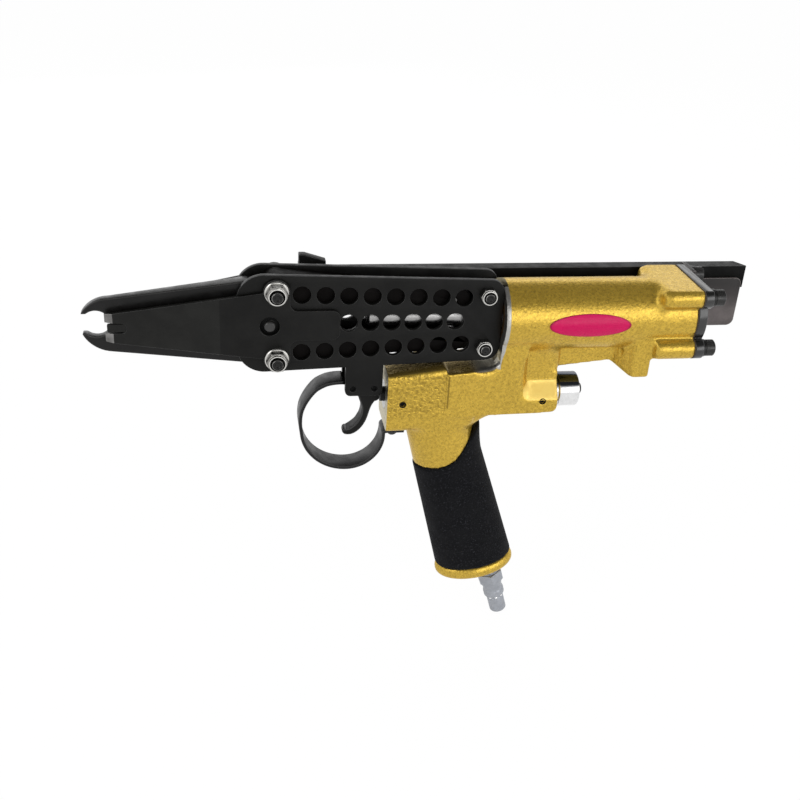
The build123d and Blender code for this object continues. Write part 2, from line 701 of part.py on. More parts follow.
def rear_bolts():
    """The two bolts that clamp the plates to the housing's lugs."""
    reach = REAR_NUT_HEIGHT + REAR_NUT_COLLAR_HEIGHT + REAR_THREAD_STICK_OUT
    return group(
        plate_bolt(
            REAR_BOLT_X,
            z,
            REAR_BOLT_RADIUS,
            REAR_BOLT_HEAD_RADIUS,
            REAR_BOLT_HEAD_HEIGHT,
            PLATE_OUTER_Y,
            REAR_BOLT_RADIUS,
            reach,
        )
        for z in (REAR_BOLT_Z, -REAR_BOLT_Z)
    )


def rear_nuts():
    """The lock nuts on the rear bolts."""
    return group(
        lock_nut(
            REAR_BOLT_X,
            z,
            REAR_NUT_FLATS,
            REAR_NUT_HEIGHT,
            REAR_NUT_COLLAR_RADIUS,
            REAR_NUT_COLLAR_HEIGHT,
            REAR_BOLT_RADIUS,
            PLATE_OUTER_Y,
        )
        for z in (REAR_BOLT_Z, -REAR_BOLT_Z)
    )


# Drive rod, piston and cylinder fittings

def drive_rod():
    """The rod: pilot between the rollers, cone that spreads them, guided shank and a spigot for the piston.

    The stretch that comes between the side plates has flat sides.
    """
    end_x = PISTON_REAR_X + PISTON_NUT_HEIGHT
    rod = turned_on_x(
        [
            (ROD_TIP_X, 0),
            (ROD_TIP_X, ROD_PILOT_RADIUS - ROD_TIP_CHAMFER),
            (ROD_TIP_X + ROD_TIP_CHAMFER, ROD_PILOT_RADIUS),
            (CONE_START_X, ROD_PILOT_RADIUS),
            (CONE_END_X, ROD_RADIUS),
            (PISTON_FRONT_X, ROD_RADIUS),
            (PISTON_FRONT_X, SPIGOT_RADIUS),
            (end_x, SPIGOT_RADIUS),
            (end_x, 0),
        ]
    )
    flat_y = PLATE_INNER_Y - WEDGE_CLEARANCE
    flat_end_x = BARREL_FRONT_X + STROKE + FREE_CLEARANCE
    for side in (1, -1):
        low, high = sorted((side * flat_y, side * BORE_RADIUS))
        rod -= box_between(ROD_TIP_X, flat_end_x, low, high, -BORE_RADIUS, BORE_RADIUS)
    return rod


def seal_groove_x():
    """Front of the groove in the middle of the piston."""
    return PISTON_FRONT_X + (PISTON_LENGTH - PISTON_SEAL_WIDTH) / 2


def piston():
    """The grooved piston."""
    radius = BORE_RADIUS - SLIDE_CLEARANCE
    body = bar_x(radius, PISTON_FRONT_X, PISTON_REAR_X)
    groove = bar_x(radius + OVERCUT, seal_groove_x(), seal_groove_x() + PISTON_SEAL_WIDTH)
    groove -= bar_x(radius - PISTON_SEAL_DEPTH, seal_groove_x(), seal_groove_x() + PISTON_SEAL_WIDTH)
    return body - groove - bar_x(SPIGOT_RADIUS, PISTON_FRONT_X, PISTON_REAR_X)


def piston_seal():
    """The seal in the piston's groove."""
    radius = BORE_RADIUS - SLIDE_CLEARANCE
    rear_x = seal_groove_x() + PISTON_SEAL_WIDTH
    return bar_x(radius, seal_groove_x(), rear_x) - bar_x(radius - PISTON_SEAL_DEPTH, seal_groove_x(), rear_x)


def piston_nut():
    """The nut that holds the piston on the rod."""
    nut = along_x(hexagon(PISTON_NUT_FLATS), PISTON_REAR_X, PISTON_REAR_X + PISTON_NUT_HEIGHT)
    return nut - bar_x(SPIGOT_RADIUS, PISTON_REAR_X, PISTON_REAR_X + PISTON_NUT_HEIGHT)


def rod_bush():
    """The bush in the housing's front wall that guides the rod."""
    inner = ROD_RADIUS + SLIDE_CLEARANCE
    return bar_x(inner + BUSH_WALL, BARREL_FRONT_X, BORE_FRONT_X) - bar_x(inner, BARREL_FRONT_X, BORE_FRONT_X)


def bumper():
    """The rubber ring at the front of the bore."""
    rear_x = BORE_FRONT_X + BUMPER_LENGTH
    return bar_x(BORE_RADIUS, BORE_FRONT_X, rear_x) - bar_x(BORE_RADIUS - BUMPER_WALL, BORE_FRONT_X, rear_x)


def return_spring():
    """The spring that sends the piston back."""
    return coil_on_x(
        "return spring",
        RETURN_COIL_RADIUS,
        RETURN_WIRE_RADIUS,
        BORE_FRONT_X + BUMPER_LENGTH + SEAT_CLEARANCE,
        PISTON_FRONT_X - SEAT_CLEARANCE,
        RETURN_TURNS,
        0.0,
    )


# Cast housing

def block_outline():
    """Outline of the rear block and end cap: the barrel's round, a flat top and a lobe round each screw."""
    low_z = -CAP_SCREW_Z - BLOCK_LOBE_RADIUS
    core = Pos(0, (BLOCK_TOP_Z + low_z) / 2) * Rectangle(2 * CAP_SCREW_Y, BLOCK_TOP_Z - low_z)
    lobes = [Pos(y, z) * Circle(BLOCK_LOBE_RADIUS) for y, z in screw_places()]
    limit = Pos(0, BLOCK_TOP_Z - BARREL_RADIUS * 2) * Rectangle(BARREL_RADIUS * 4, BARREL_RADIUS * 4)
    return (core + Circle(BARREL_RADIUS) + lobes) & limit


def screw_places():
    """Centres of the end cap's screws."""
    return [(y, z) for y in (CAP_SCREW_Y, -CAP_SCREW_Y) for z in (CAP_SCREW_Z, -CAP_SCREW_Z)]


def keel_section(x, half_width, low_z):
    """Section of the keel and its flare, from the bore axis down to low_z."""
    return Plane.YZ.offset(x) * Pos(0, low_z / 2) * Rectangle(2 * half_width, -low_z)


def barrel():
    """The barrel with its flat belly, the keel that flares into the foot, and the rear block."""
    body = bar_x(BARREL_RADIUS, BARREL_FRONT_X, BLOCK_REAR_X)
    body += box_between(
        BARREL_FRONT_X, FOOT_REAR_X, -BELLY_HALF_WIDTH, BELLY_HALF_WIDTH, BELLY_BOTTOM_Z, 0
    )
    body += along_x(block_outline(), BLOCK_FRONT_X, BLOCK_REAR_X)
    keel_front = keel_section(RECESS_FRONT_X, KEEL_HALF_WIDTH, KEEL_FRONT_Z)
    keel_rear = keel_section(KEEL_REAR_X, KEEL_HALF_WIDTH, KEEL_REAR_Z)
    flare_rear = keel_section(FOOT_FRONT_X, FOOT_WIDTH / 2 - FOOT_RADIUS, FOOT_BOTTOM_Z)
    body += loft([keel_front, keel_rear])
    body += loft([keel_rear, flare_rear])
    foot = box_between(FOOT_FRONT_X, FOOT_REAR_X, -FOOT_WIDTH / 2, FOOT_WIDTH / 2, FOOT_BOTTOM_Z, 0)
    return body + fillet(foot.edges().filter_by(Axis.Z), FOOT_RADIUS)


def front_block_section(x, top_z):
    """Section of the valve body's front block, down to the chin."""
    height = top_z - CHIN_BOTTOM_Z
    return Plane.YZ.offset(x) * Pos(0, CHIN_BOTTOM_Z + height / 2) * RectangleRounded(
        VALVE_BODY_WIDTH, height, VALVE_BODY_RADIUS
    )


def valve_rear():
    """The wider rear of the valve body: pocket under the plates, web to the barrel, recessed sides."""
    half = VALVE_REAR_HALF_WIDTH
    outline = make_face(
        Polyline(
            (STEP_X, POCKET_FRONT_Z),
            (BARREL_FRONT_X, POCKET_REAR_Z),
            (BARREL_FRONT_X, WEB_TOP_Z),
            (VALVE_BODY_REAR_X, WEB_TOP_Z),
            (VALVE_BODY_REAR_X, NECK_REAR_Z),
            (STEP_X, NECK_FRONT_Z),
            close=True,
        )
    )
    pocket_corner = [v for v in outline.vertices() if v.Y == POCKET_REAR_Z]
    outline = fillet(pocket_corner, POCKET_RADIUS)
    neck_corner = [v for v in outline.vertices() if v.Y == NECK_REAR_Z]
    outline = fillet(neck_corner, NECK_RADIUS)
    body = along_y(outline, -half, half)
    hollow = make_face(
        Polyline(
            (-RECESS_HALF_WIDTH, 0),
            (-RECESS_HALF_WIDTH, RECESS_FLOOR_Z),
            (-half, RECESS_LEDGE_Z),
            (-half - OVERCUT, RECESS_LEDGE_Z),
            (-half - OVERCUT, 0),
            close=True,
        )
    )
    recess = along_x(hollow, RECESS_FRONT_X, VALVE_BODY_REAR_X + OVERCUT)
    return body - recess - to_far_side(recess)


def throat():
    """The hollow curve from under the neck to the back of the handle."""
    curve = ThreePointArc(
        (THROAT_REAR_X, NECK_FRONT_Z), (THROAT_MID_X, THROAT_MID_Z), (THROAT_BOTTOM_X, THROAT_BOTTOM_Z)
    )
    rest = Polyline(
        (THROAT_BOTTOM_X, THROAT_BOTTOM_Z),
        (THROAT_FRONT_X, THROAT_BOTTOM_Z),
        (THROAT_FRONT_X, VALVE_Z),
        (THROAT_REAR_X, VALVE_Z),
        (THROAT_REAR_X, NECK_FRONT_Z),
    )
    return along_y(make_face([curve, rest]), -THROAT_WIDTH / 2, THROAT_WIDTH / 2)


def valve_body():
    """The valve body: front block, chin over the guard, wider rear and the throat behind the handle."""
    front = front_block_section(VALVE_BODY_FRONT_X, VALVE_FRONT_TOP_Z)
    rear = front_block_section(STEP_X, VALVE_STEP_TOP_Z)
    body = loft([front, rear])
    chin = front_block_section(STEP_X - OVERCUT, VALVE_Z)
    body += extrude(chin, CHIN_REAR_X - STEP_X)
    return body + valve_rear() + throat()


def handle_plane(reach=0.0):
    """The plane across the handle, reach millimetres below the grip's centre along the leaning axis."""
    lean = math.radians(HANDLE_LEAN_DEG)
    across = Plane(
        origin=(GRIP_CENTRE_X, 0, GRIP_CENTRE_Z),
        x_dir=(math.cos(lean), 0, math.sin(lean)),
        z_dir=(math.sin(lean), 0, -math.cos(lean)),
    )
    return across.offset(reach)


def handle_form(shrink):
    """The handle's tapered oval body, drawn in by shrink all round."""
    sections = []
    for reach, depth in ((HANDLE_TOP, HANDLE_TOP_DEPTH), (HANDLE_END, HANDLE_BOTTOM_DEPTH)):
        sections.append(handle_plane(reach) * Ellipse(depth / 2 - shrink, HANDLE_WIDTH / 2 - shrink))
    return loft(sections)


def flange_plane():
    """The plane where the rubber meets the flange, which leans less than the handle."""
    lean = math.radians(FLANGE_LEAN_DEG)
    return Plane(
        origin=handle_plane(GRIP_BOTTOM).origin,
        x_dir=(math.cos(lean), 0, math.sin(lean)),
        z_dir=(math.sin(lean), 0, -math.cos(lean)),
    )


def handle_flange():
    """The flange that the rubber sits on, with a rounded lower edge."""
    outline = Ellipse(HANDLE_BOTTOM_DEPTH / 2 + FLANGE_PROUD, HANDLE_WIDTH / 2 + FLANGE_PROUD)
    flange = extrude(flange_plane() * outline, HANDLE_BOTTOM - GRIP_BOTTOM)
    return fillet(flange.faces().sort_by(Axis.Z)[0].edges(), FLANGE_RADIUS)


def grip_zone():
    """The stretch of the handle that the rubber covers, with its dipped front edge and raised tail."""
    low = flange_plane()
    reach = HANDLE_BOTTOM_DEPTH

    def low_point(side):
        place = low.origin + low.x_dir * (side * reach)
        return (place.X, place.Z)

    front_x = GRIP_CENTRE_X - reach
    top = Spline(
        (front_x, GRIP_FRONT_TOP_Z),
        (GRIP_DIP_X, GRIP_DIP_Z),
        (GRIP_RISE_X, GRIP_RISE_Z),
        (GRIP_TAIL_X, GRIP_TAIL_Z),
        (GRIP_TAIL_TOP_X, GRIP_TAIL_TOP_Z),
    )
    rest = Polyline(
        (GRIP_TAIL_TOP_X, GRIP_TAIL_TOP_Z),
        (GRIP_TAIL_TOP_X + reach, GRIP_TAIL_TOP_Z),
        low_point(1),
        low_point(-1),
        (front_x, GRIP_FRONT_TOP_Z),
    )
    return along_y(make_face([top, rest]), -HANDLE_WIDTH, HANDLE_WIDTH)


def air_bore(radius, reach_from, reach_to):
    """A round bar along the handle's air passage."""
    return extrude(handle_plane(reach_from) * Pos(AIR_OFFSET, 0) * Circle(radius), reach_to - reach_from)


def rear_lug():
    """The upper lug between the side plates, rounded round its bolt and kept clear of the rod."""
    half = PLATE_INNER_Y - SEAT_CLEARANCE
    rear_x = BARREL_FRONT_X + OVERCUT
    top_z = REAR_BOLT_Z + LUG_RADIUS
    lug = bar_y(LUG_RADIUS, -half, half, REAR_BOLT_X, REAR_BOLT_Z)
    lug += box_between(REAR_BOLT_X, rear_x, -half, half, REAR_BOLT_Z - LUG_RADIUS, top_z)
    lug &= box_between(REAR_BOLT_X - LUG_RADIUS, rear_x, -half, half, LUG_INNER_Z, top_z)
    return lug - bar_y(REAR_BOLT_RADIUS + SEAT_CLEARANCE, -PLATE_GAP, PLATE_GAP, REAR_BOLT_X, REAR_BOLT_Z)


def guard_pad():
    """The pad under the chin that the guard's foot is screwed to."""
    front_x = GUARD_REAR_X + GUARD_BEND_RADIUS
    half = GUARD_WIDTH / 2
    return box_between(front_x, GUARD_FOOT_X, -half, half, GUARD_SEAT_Z, CHIN_BOTTOM_Z + OVERCUT)


def main_body():
    """The cast housing: barrel, valve body, handle and the lugs between the side plates."""
    body = barrel() + valve_body() + guard_pad()
    body += handle_form(0) - grip_zone()
    body += handle_form(GRIP_WALL)
    body += handle_flange()
    body += rear_lug()
    body += to_lower_side(rear_lug())
    body -= bar_x(BORE_RADIUS, BORE_FRONT_X, BLOCK_REAR_X)
    body -= bar_x(ROD_RADIUS + SLIDE_CLEARANCE + BUSH_WALL, BARREL_FRONT_X, BORE_FRONT_X)
    body -= bar_x(VALVE_BORE_RADIUS, VALVE_BODY_FRONT_X, VALVE_BODY_REAR_X, 0, VALVE_Z)
    body -= air_bore(AIR_BORE_RADIUS, HANDLE_TOP, HANDLE_BOTTOM)
    body -= air_bore(PLUG_THREAD_RADIUS, HANDLE_BOTTOM - PLUG_THREAD_LENGTH, HANDLE_BOTTOM + PLUG_FREE_THREAD)
    for y, z in screw_places():
        body -= bar_x(CAP_SCREW_RADIUS, BLOCK_REAR_X - CAP_SCREW_DEPTH, BLOCK_REAR_X, y, z)
    for x in (LOCATING_PIN_FRONT_X, LOCATING_PIN_REAR_X):
        body -= bar_y(LOCATING_PIN_RADIUS, -VALVE_BODY_WIDTH, -VALVE_BORE_RADIUS + OVERCUT, x, VALVE_Z)
    body -= Pos(GUARD_SCREW_X, 0, GUARD_SEAT_Z) * Cylinder(
        GUARD_SCREW_RADIUS, GUARD_SCREW_DEPTH, align=(Align.CENTER, Align.CENTER, Align.MIN)
    )
    return body


def grip_sleeve():
    """The rubber sleeve on the handle."""
    return (handle_form(-GRIP_PROUD) & grip_zone()) - handle_form(GRIP_WALL) - valve_body()


# End cap

def end_cap():
    """The plate that closes the bore."""
    cap = along_x(block_outline(), CAP_FRONT_X, CAP_REAR_X)
    return cap - [bar_x(CAP_SCREW_RADIUS, CAP_FRONT_X, CAP_REAR_X, y, z) for y, z in screw_places()]


def cap_gasket():
    """The gasket under the end cap."""
    gasket = along_x(block_outline() - Circle(BORE_RADIUS), BLOCK_REAR_X, CAP_FRONT_X)
    return gasket - [bar_x(CAP_SCREW_RADIUS, BLOCK_REAR_X, CAP_FRONT_X, y, z) for y, z in screw_places()]


def screw_seat_x(y):
    """Face that a cap screw's washer sits on: the bracket on the far side, the cap on the near side."""
    return CAP_REAR_X + (BRACKET_THICKNESS if y > 0 else 0.0)


def cap_washers():
    """Lock washers under the cap screws."""
    rings = []
    for y, z in screw_places():
        seat = screw_seat_x(y)
        ring = bar_x(WASHER_RADIUS, seat, seat + WASHER_THICKNESS, y, z)
        rings.append(ring - bar_x(CAP_SCREW_RADIUS, seat, seat + WASHER_THICKNESS, y, z))
    return group(rings)


def cap_screws():
    """Socket screws that hold the end cap."""
    screws = []
    for y, z in screw_places():
        head_x = screw_seat_x(y) + WASHER_THICKNESS
        tip_x = BLOCK_REAR_X - CAP_SCREW_DEPTH
        screw = bar_x(CAP_SCREW_RADIUS, tip_x, head_x, y, z)
        screw += bar_x(CAP_HEAD_RADIUS, head_x, head_x + CAP_HEAD_HEIGHT, y, z)
        socket = Pos(y, z) * hexagon(CAP_SOCKET_FLATS)
        screw -= along_x(socket, head_x + CAP_HEAD_HEIGHT - CAP_SOCKET_DEPTH, head_x + CAP_HEAD_HEIGHT)
        screws.append(screw)
    return group(screws)


# Trigger valve

def valve_sleeve():
    """The sleeve in the valve bore, with a gland that guides the stem."""
    outer = bar_x(VALVE_BORE_RADIUS, VALVE_BODY_FRONT_X, VALVE_BODY_REAR_X, 0, VALVE_Z)
    gland_x = VALVE_BODY_FRONT_X + GLAND_LENGTH
    inner = bar_x(VALVE_BORE_RADIUS - SLEEVE_WALL, gland_x, VALVE_BODY_REAR_X, 0, VALVE_Z)
    return outer - inner - bar_x(STEM_RADIUS + SLIDE_CLEARANCE, VALVE_BODY_FRONT_X, gland_x, 0, VALVE_Z)


def land_places():
    """Front ends of the stem's lands."""
    return [STEM_FIRST_LAND_X + i * STEM_LAND_PITCH for i in range(2)]


def stem_end_x():
    """Rear end of the valve stem."""
    return land_places()[-1] + STEM_LAND_LENGTH


def seal_x(land_x):
    """Front of the seal groove in a land."""
    return land_x + (STEM_LAND_LENGTH - STEM_SEAL_WIDTH) / 2


def valve_stem():
    """The spool that the trigger pushes."""
    stem = bar_x(STEM_RADIUS, STEM_FRONT_X, STEM_FIRST_LAND_X, 0, VALVE_Z)
    stem += bar_x(STEM_NECK_RADIUS, STEM_FIRST_LAND_X, stem_end_x(), 0, VALVE_Z)
    for x in land_places():
        land = bar_x(STEM_LAND_RADIUS, x, x + STEM_LAND_LENGTH, 0, VALVE_Z)
        groove = bar_x(STEM_LAND_RADIUS, seal_x(x), seal_x(x) + STEM_SEAL_WIDTH, 0, VALVE_Z)
        floor = STEM_LAND_RADIUS - STEM_SEAL_DEPTH
        groove -= bar_x(floor, seal_x(x), seal_x(x) + STEM_SEAL_WIDTH, 0, VALVE_Z)
        stem += land - groove
    return stem


def stem_seals():
    """The seals in the stem's lands."""
    rings = []
    for x in land_places():
        ring = bar_x(STEM_LAND_RADIUS, seal_x(x), seal_x(x) + STEM_SEAL_WIDTH, 0, VALVE_Z)
        inner = bar_x(STEM_LAND_RADIUS - STEM_SEAL_DEPTH, seal_x(x), seal_x(x) + STEM_SEAL_WIDTH, 0, VALVE_Z)
        rings.append(ring - inner)
    return group(rings)


def valve_spring():
    """The spring that returns the stem."""
    return coil_on_x(
        "valve spring",
        VALVE_COIL_RADIUS,
        VALVE_WIRE_RADIUS,
        stem_end_x() + SEAT_CLEARANCE,
        VALVE_PLUG_FRONT_X - SEAT_CLEARANCE,
        VALVE_TURNS,
        VALVE_Z,
    )


def valve_end_cap():
    """The bright cap behind the valve body, with a plug into the sleeve."""
    inner = VALVE_BORE_RADIUS - SLEEVE_WALL
    cap = bar_x(VALVE_CAP_RADIUS, VALVE_CAP_FRONT_X, VALVE_CAP_REAR_X, 0, VALVE_Z)
    cap = chamfer(cap.edges(), FREE_CLEARANCE)
    cap += bar_x(inner, VALVE_PLUG_FRONT_X, VALVE_BODY_REAR_X, 0, VALVE_Z)
    cap += bar_x(VALVE_BORE_RADIUS, VALVE_BODY_REAR_X, VALVE_CAP_FRONT_X, 0, VALVE_Z)
    return cap


def valve_cap_screw():
    """The screw in the middle of the valve cap."""
    head = bar_x(VALVE_SCREW_RADIUS, VALVE_CAP_REAR_X, VALVE_CAP_REAR_X + VALVE_SCREW_HEIGHT, 0, VALVE_Z)
    return chamfer(head.faces().sort_by(Axis.X)[-1].edges(), FREE_CLEARANCE)


def locating_pins():
    """The pins that hold the valve sleeve in the body."""
    pins = []
    for x, face_y in (
        (LOCATING_PIN_FRONT_X, VALVE_HALF_WIDTH),
        (LOCATING_PIN_REAR_X, VALVE_REAR_HALF_WIDTH),
    ):
        pins.append(bar_y(LOCATING_PIN_RADIUS, -face_y, -VALVE_BORE_RADIUS, x, VALVE_Z))
    return group(pins)


# Trigger and guard

def trigger():
    """The curved trigger, with a rounded tip and a rounded nose against the valve stem."""
    nose_x = STEM_FRONT_X - TRIGGER_STEM_GAP - TRIGGER_NOSE_RADIUS
    nose_low = (nose_x, VALVE_Z - TRIGGER_NOSE_RADIUS)
    front = [(TRIGGER_PIN_X + x, LINK_PIN_Z + z) for x, z in TRIGGER_FRONT_EDGE]
    rear = [(TRIGGER_PIN_X + x, LINK_PIN_Z + z) for x, z in TRIGGER_REAR_EDGE]
    tip_x = TRIGGER_PIN_X + TRIGGER_TIP[0]
    tip_z = LINK_PIN_Z + TRIGGER_TIP[1]
    tip_slant = TRIGGER_TIP_RADIUS * math.sqrt(0.5)
    tip_front = (tip_x - tip_slant, tip_z + tip_slant)
    tip_rear = (tip_x, tip_z - TRIGGER_TIP_RADIUS)
    edges = [
        Spline(*front, tip_front),
        Line(tip_front, tip_rear),
        Spline(tip_rear, *rear, nose_low),
        Polyline(nose_low, (TRIGGER_PIN_X, LINK_PIN_Z), front[0]),
    ]
    half = TRIGGER_WIDTH / 2
    lever = along_y(make_face(edges), -half, half)
    lever += bar_y(TRIGGER_TIP_RADIUS, -half, half, tip_x, tip_z)
    lever += bar_y(TRIGGER_BOSS_RADIUS, -half, half, TRIGGER_PIN_X, LINK_PIN_Z)
    lever += bar_y(TRIGGER_NOSE_RADIUS, -half, half, nose_x, VALVE_Z)
    return lever - bar_y(LINK_PIN_RADIUS + SLIDE_CLEARANCE, -PLATE_GAP, PLATE_GAP, TRIGGER_PIN_X, LINK_PIN_Z)


def link_pin(x):
    """A pin across the two plate tabs."""
    return bar_y(LINK_PIN_RADIUS, -PLATE_OUTER_Y, PLATE_OUTER_Y, x, LINK_PIN_Z)


def trigger_guard():
    """The strip guard: rolled eye on its pin, narrow between the tabs, round loop, foot under the chin."""
    bottom_z = GUARD_CENTRE_Z - GUARD_FRONT_RADIUS
    rear_z = bottom_z + GUARD_REAR_RADIUS
    foot_z = GUARD_SEAT_Z - GUARD_THICKNESS / 2
    bend_x = GUARD_REAR_X + GUARD_BEND_RADIUS
    bend_z = foot_z - GUARD_BEND_RADIUS
    front = CenterArc((GUARD_CENTRE_X, GUARD_CENTRE_Z), GUARD_FRONT_RADIUS, 90, 180)
    rear = CenterArc((GUARD_CENTRE_X, rear_z), GUARD_REAR_RADIUS, 270, 90)
    rise = Line((GUARD_REAR_X, rear_z), (GUARD_REAR_X, bend_z))
    bend = CenterArc((bend_x, bend_z), GUARD_BEND_RADIUS, 180, -90)
    foot = Line((bend_x, foot_z), (GUARD_FOOT_X, foot_z))
    lead = Line((GUARD_PIN_X, GUARD_TOP_Z), (GUARD_CENTRE_X, GUARD_TOP_Z))
    strip = trace([lead, front, rear, rise, bend, foot], GUARD_THICKNESS)
    half = GUARD_WIDTH / 2
    guard = along_y(strip, -half, half)
    guard += bar_y(GUARD_BOSS_RADIUS, -half, half, GUARD_PIN_X, LINK_PIN_Z)
    room_x = TAB_FRONT_X - FREE_CLEARANCE
    room_z = TAB_BOTTOM_Z - FREE_CLEARANCE
    room = box_between(room_x, TAB_REAR_X, PLATE_INNER_Y - SIDE_CLEARANCE, half, room_z, 0)
    guard = guard - room - to_far_side(room)
    guard -= bar_y(LINK_PIN_RADIUS + SEAT_CLEARANCE, -PLATE_GAP, PLATE_GAP, GUARD_PIN_X, LINK_PIN_Z)
    hole = Pos(GUARD_SCREW_X, 0, foot_z) * Cylinder(GUARD_SCREW_RADIUS, 2 * GUARD_THICKNESS)
    return guard - hole


def guard_screw():
    """The screw under the guard's foot."""
    low = GUARD_SEAT_Z - GUARD_THICKNESS
    shank_length = GUARD_THICKNESS + GUARD_SCREW_DEPTH
    shank = Pos(GUARD_SCREW_X, 0, low + shank_length / 2) * Cylinder(GUARD_SCREW_RADIUS, shank_length)
    head = Pos(GUARD_SCREW_X, 0, low - GUARD_SCREW_HEAD_HEIGHT / 2) * Cylinder(
        GUARD_SCREW_HEAD_RADIUS, GUARD_SCREW_HEAD_HEIGHT
    )
    head = fillet(head.faces().sort_by(Axis.Z)[0].edges(), GUARD_SCREW_HEAD_HEIGHT * DOME_SHARE)
    return shank + head


# Magazine

def magazine_rail():
    """The ring rail: a channel open below, with its rear end cut on a slant."""
    mid_z = RAIL_TOP_Z - RAIL_HEIGHT / 2
    outer = Pos(RAIL_MID_Y, mid_z) * Rectangle(RAIL_WIDTH, RAIL_HEIGHT)
    inner = Pos(RAIL_MID_Y, mid_z - RAIL_WALL) * Rectangle(RAIL_WIDTH - 2 * RAIL_WALL, RAIL_HEIGHT)
    slant_x = RAIL_REAR_X - RAIL_END_SKEW
    rail = along_x(outer - inner, RAIL_FRONT_X, slant_x - RAIL_WALL)
    rail += along_x(outer, slant_x - RAIL_WALL, RAIL_REAR_X)
    waste = make_face(
        Polyline((RAIL_REAR_X, RAIL_NEAR_Y), (RAIL_REAR_X, RAIL_FAR_Y), (slant_x, RAIL_FAR_Y), close=True)
    )
    return rail - along_z(waste, RAIL_BOTTOM_Z, RAIL_TOP_Z)


def feed_track():
    """The track that carries rings from the rail down to the slot in the far nose plate."""
    mid_z = RAIL_TOP_Z - RAIL_HEIGHT / 2
    fall = (PLATE_OUTER_Y - NOSE_TIP_INNER_Y) / (NOSE_BEND_X - NOSE_TIP_X)
    tip_face_y = NOSE_TIP_INNER_Y + NOSE_THICKNESS + fall * (NOSE_SLOT_END_X - NOSE_TIP_X) + SIDE_CLEARANCE
    rear = Plane.YZ.offset(RAIL_FRONT_X) * Pos(RAIL_MID_Y, mid_z) * Rectangle(RAIL_WIDTH, RAIL_HEIGHT)
    tip = Plane.YZ.offset(TRACK_TIP_X) * Pos(tip_face_y + TRACK_TIP_WIDTH / 2, 0) * Rectangle(
        TRACK_TIP_WIDTH, TRACK_TIP_HEIGHT
    )
    return loft([tip, rear])


def bracket_side():
    """Side leg of the rail bracket, seen along Y."""
    length = BRACKET_REAR_X - CAP_REAR_X
    height = BRACKET_TOP_Z - BRACKET_BOTTOM_Z
    side = Pos(CAP_REAR_X + length / 2, (BRACKET_TOP_Z + BRACKET_BOTTOM_Z) / 2) * Rectangle(length, height)
    return fillet(side.vertices().group_by(Axis.X)[-1], BRACKET_RADIUS)


def rail_bracket():
    """The angle under the far cap screws that carries the rear of the rail."""
    side = along_y(bracket_side(), RAIL_NEAR_Y - BRACKET_THICKNESS, RAIL_NEAR_Y)
    foot = box_between(
        CAP_REAR_X,
        CAP_REAR_X + BRACKET_THICKNESS,
        BRACKET_INNER_Y,
        RAIL_NEAR_Y,
        BRACKET_BOTTOM_Z,
        CAP_SCREW_Z + WASHER_RADIUS,
    )
    bracket = side + foot
    for z in (CAP_SCREW_Z, -CAP_SCREW_Z):
        bracket -= bar_x(CAP_SCREW_RADIUS, CAP_REAR_X, CAP_REAR_X + BRACKET_THICKNESS, CAP_SCREW_Y, z)
    return bracket


def rail_stay():
    """The block that carries the rail from the far side plate."""
    return box_between(
        STAY_FRONT_X,
        STAY_FRONT_X + STAY_LENGTH,
        PLATE_OUTER_Y,
        RAIL_NEAR_Y,
        STAY_TOP_Z - STAY_HEIGHT,
        STAY_TOP_Z,
    )


def pusher():
    """The saddle that pushes the rings along the rail, with a thumb tab on top."""
    gap = SIDE_CLEARANCE
    wall = PUSHER_WALL
    near_y = RAIL_NEAR_Y - gap - wall
    far_y = RAIL_FAR_Y + gap + wall
    top_z = RAIL_TOP_Z + gap + wall
    low_z = RAIL_BOTTOM_Z - gap - wall
    rear_x = PUSHER_FRONT_X + PUSHER_LENGTH
    shell = box_between(PUSHER_FRONT_X, rear_x, near_y, far_y, low_z, top_z)
    shell -= box_between(
        PUSHER_FRONT_X, rear_x, near_y + wall, far_y - wall, RAIL_BOTTOM_Z - gap, RAIL_TOP_Z + gap
    )
    shell -= box_between(PUSHER_FRONT_X, rear_x, near_y, near_y + wall, low_z, STAY_TOP_Z + gap)
    shell -= box_between(PUSHER_FRONT_X, rear_x, near_y, RAIL_MID_Y, low_z, RAIL_BOTTOM_Z)
    tab = make_face(
        Polyline(
            (PUSHER_FRONT_X, top_z),
            (rear_x, top_z),
            (rear_x, PUSHER_TAB_REAR_Z),
            (PUSHER_FRONT_X + PUSHER_TAB_FLAT, PUSHER_TAB_TOP_Z),
            (PUSHER_FRONT_X, PUSHER_TAB_TOP_Z),
            close=True,
        )
    )
    shell += along_y(tab, RAIL_MID_Y - PUSHER_TAB_WIDTH / 2, RAIL_MID_Y + PUSHER_TAB_WIDTH / 2)
    x, z = feed_roll_centre()
    room = FEED_ROLL_RADIUS + SIDE_CLEARANCE
    outer = room + FEED_BOX_WALL
    box_y = far_y + FEED_ROLL_WIDTH
    shell += box_between(x - outer, x + outer, far_y, box_y, z - outer, z + outer)
    shell -= bar_y(room, far_y, box_y, x, z)
    return shell + bar_y(FEED_ROLL_RADIUS - FEED_ROLL_WALL, far_y, box_y, x, z)


def feed_roll_centre():
    """Centre of the spring roll in the pusher's far side."""
    return (PUSHER_FRONT_X + PUSHER_LENGTH / 2, RAIL_TOP_Z - RAIL_HEIGHT / 2)


def feed_spring():
    """The rolled strip spring that draws the pusher forward."""
    x, z = feed_roll_centre()
    far_y = RAIL_FAR_Y + SIDE_CLEARANCE + PUSHER_WALL
    roll = bar_y(FEED_ROLL_RADIUS, far_y, far_y + FEED_ROLL_WIDTH, x, z)
    core = FEED_ROLL_RADIUS - FEED_ROLL_WALL + SEAT_CLEARANCE
    return roll - bar_y(core, far_y, far_y + FEED_ROLL_WIDTH, x, z)


# Air plug and label

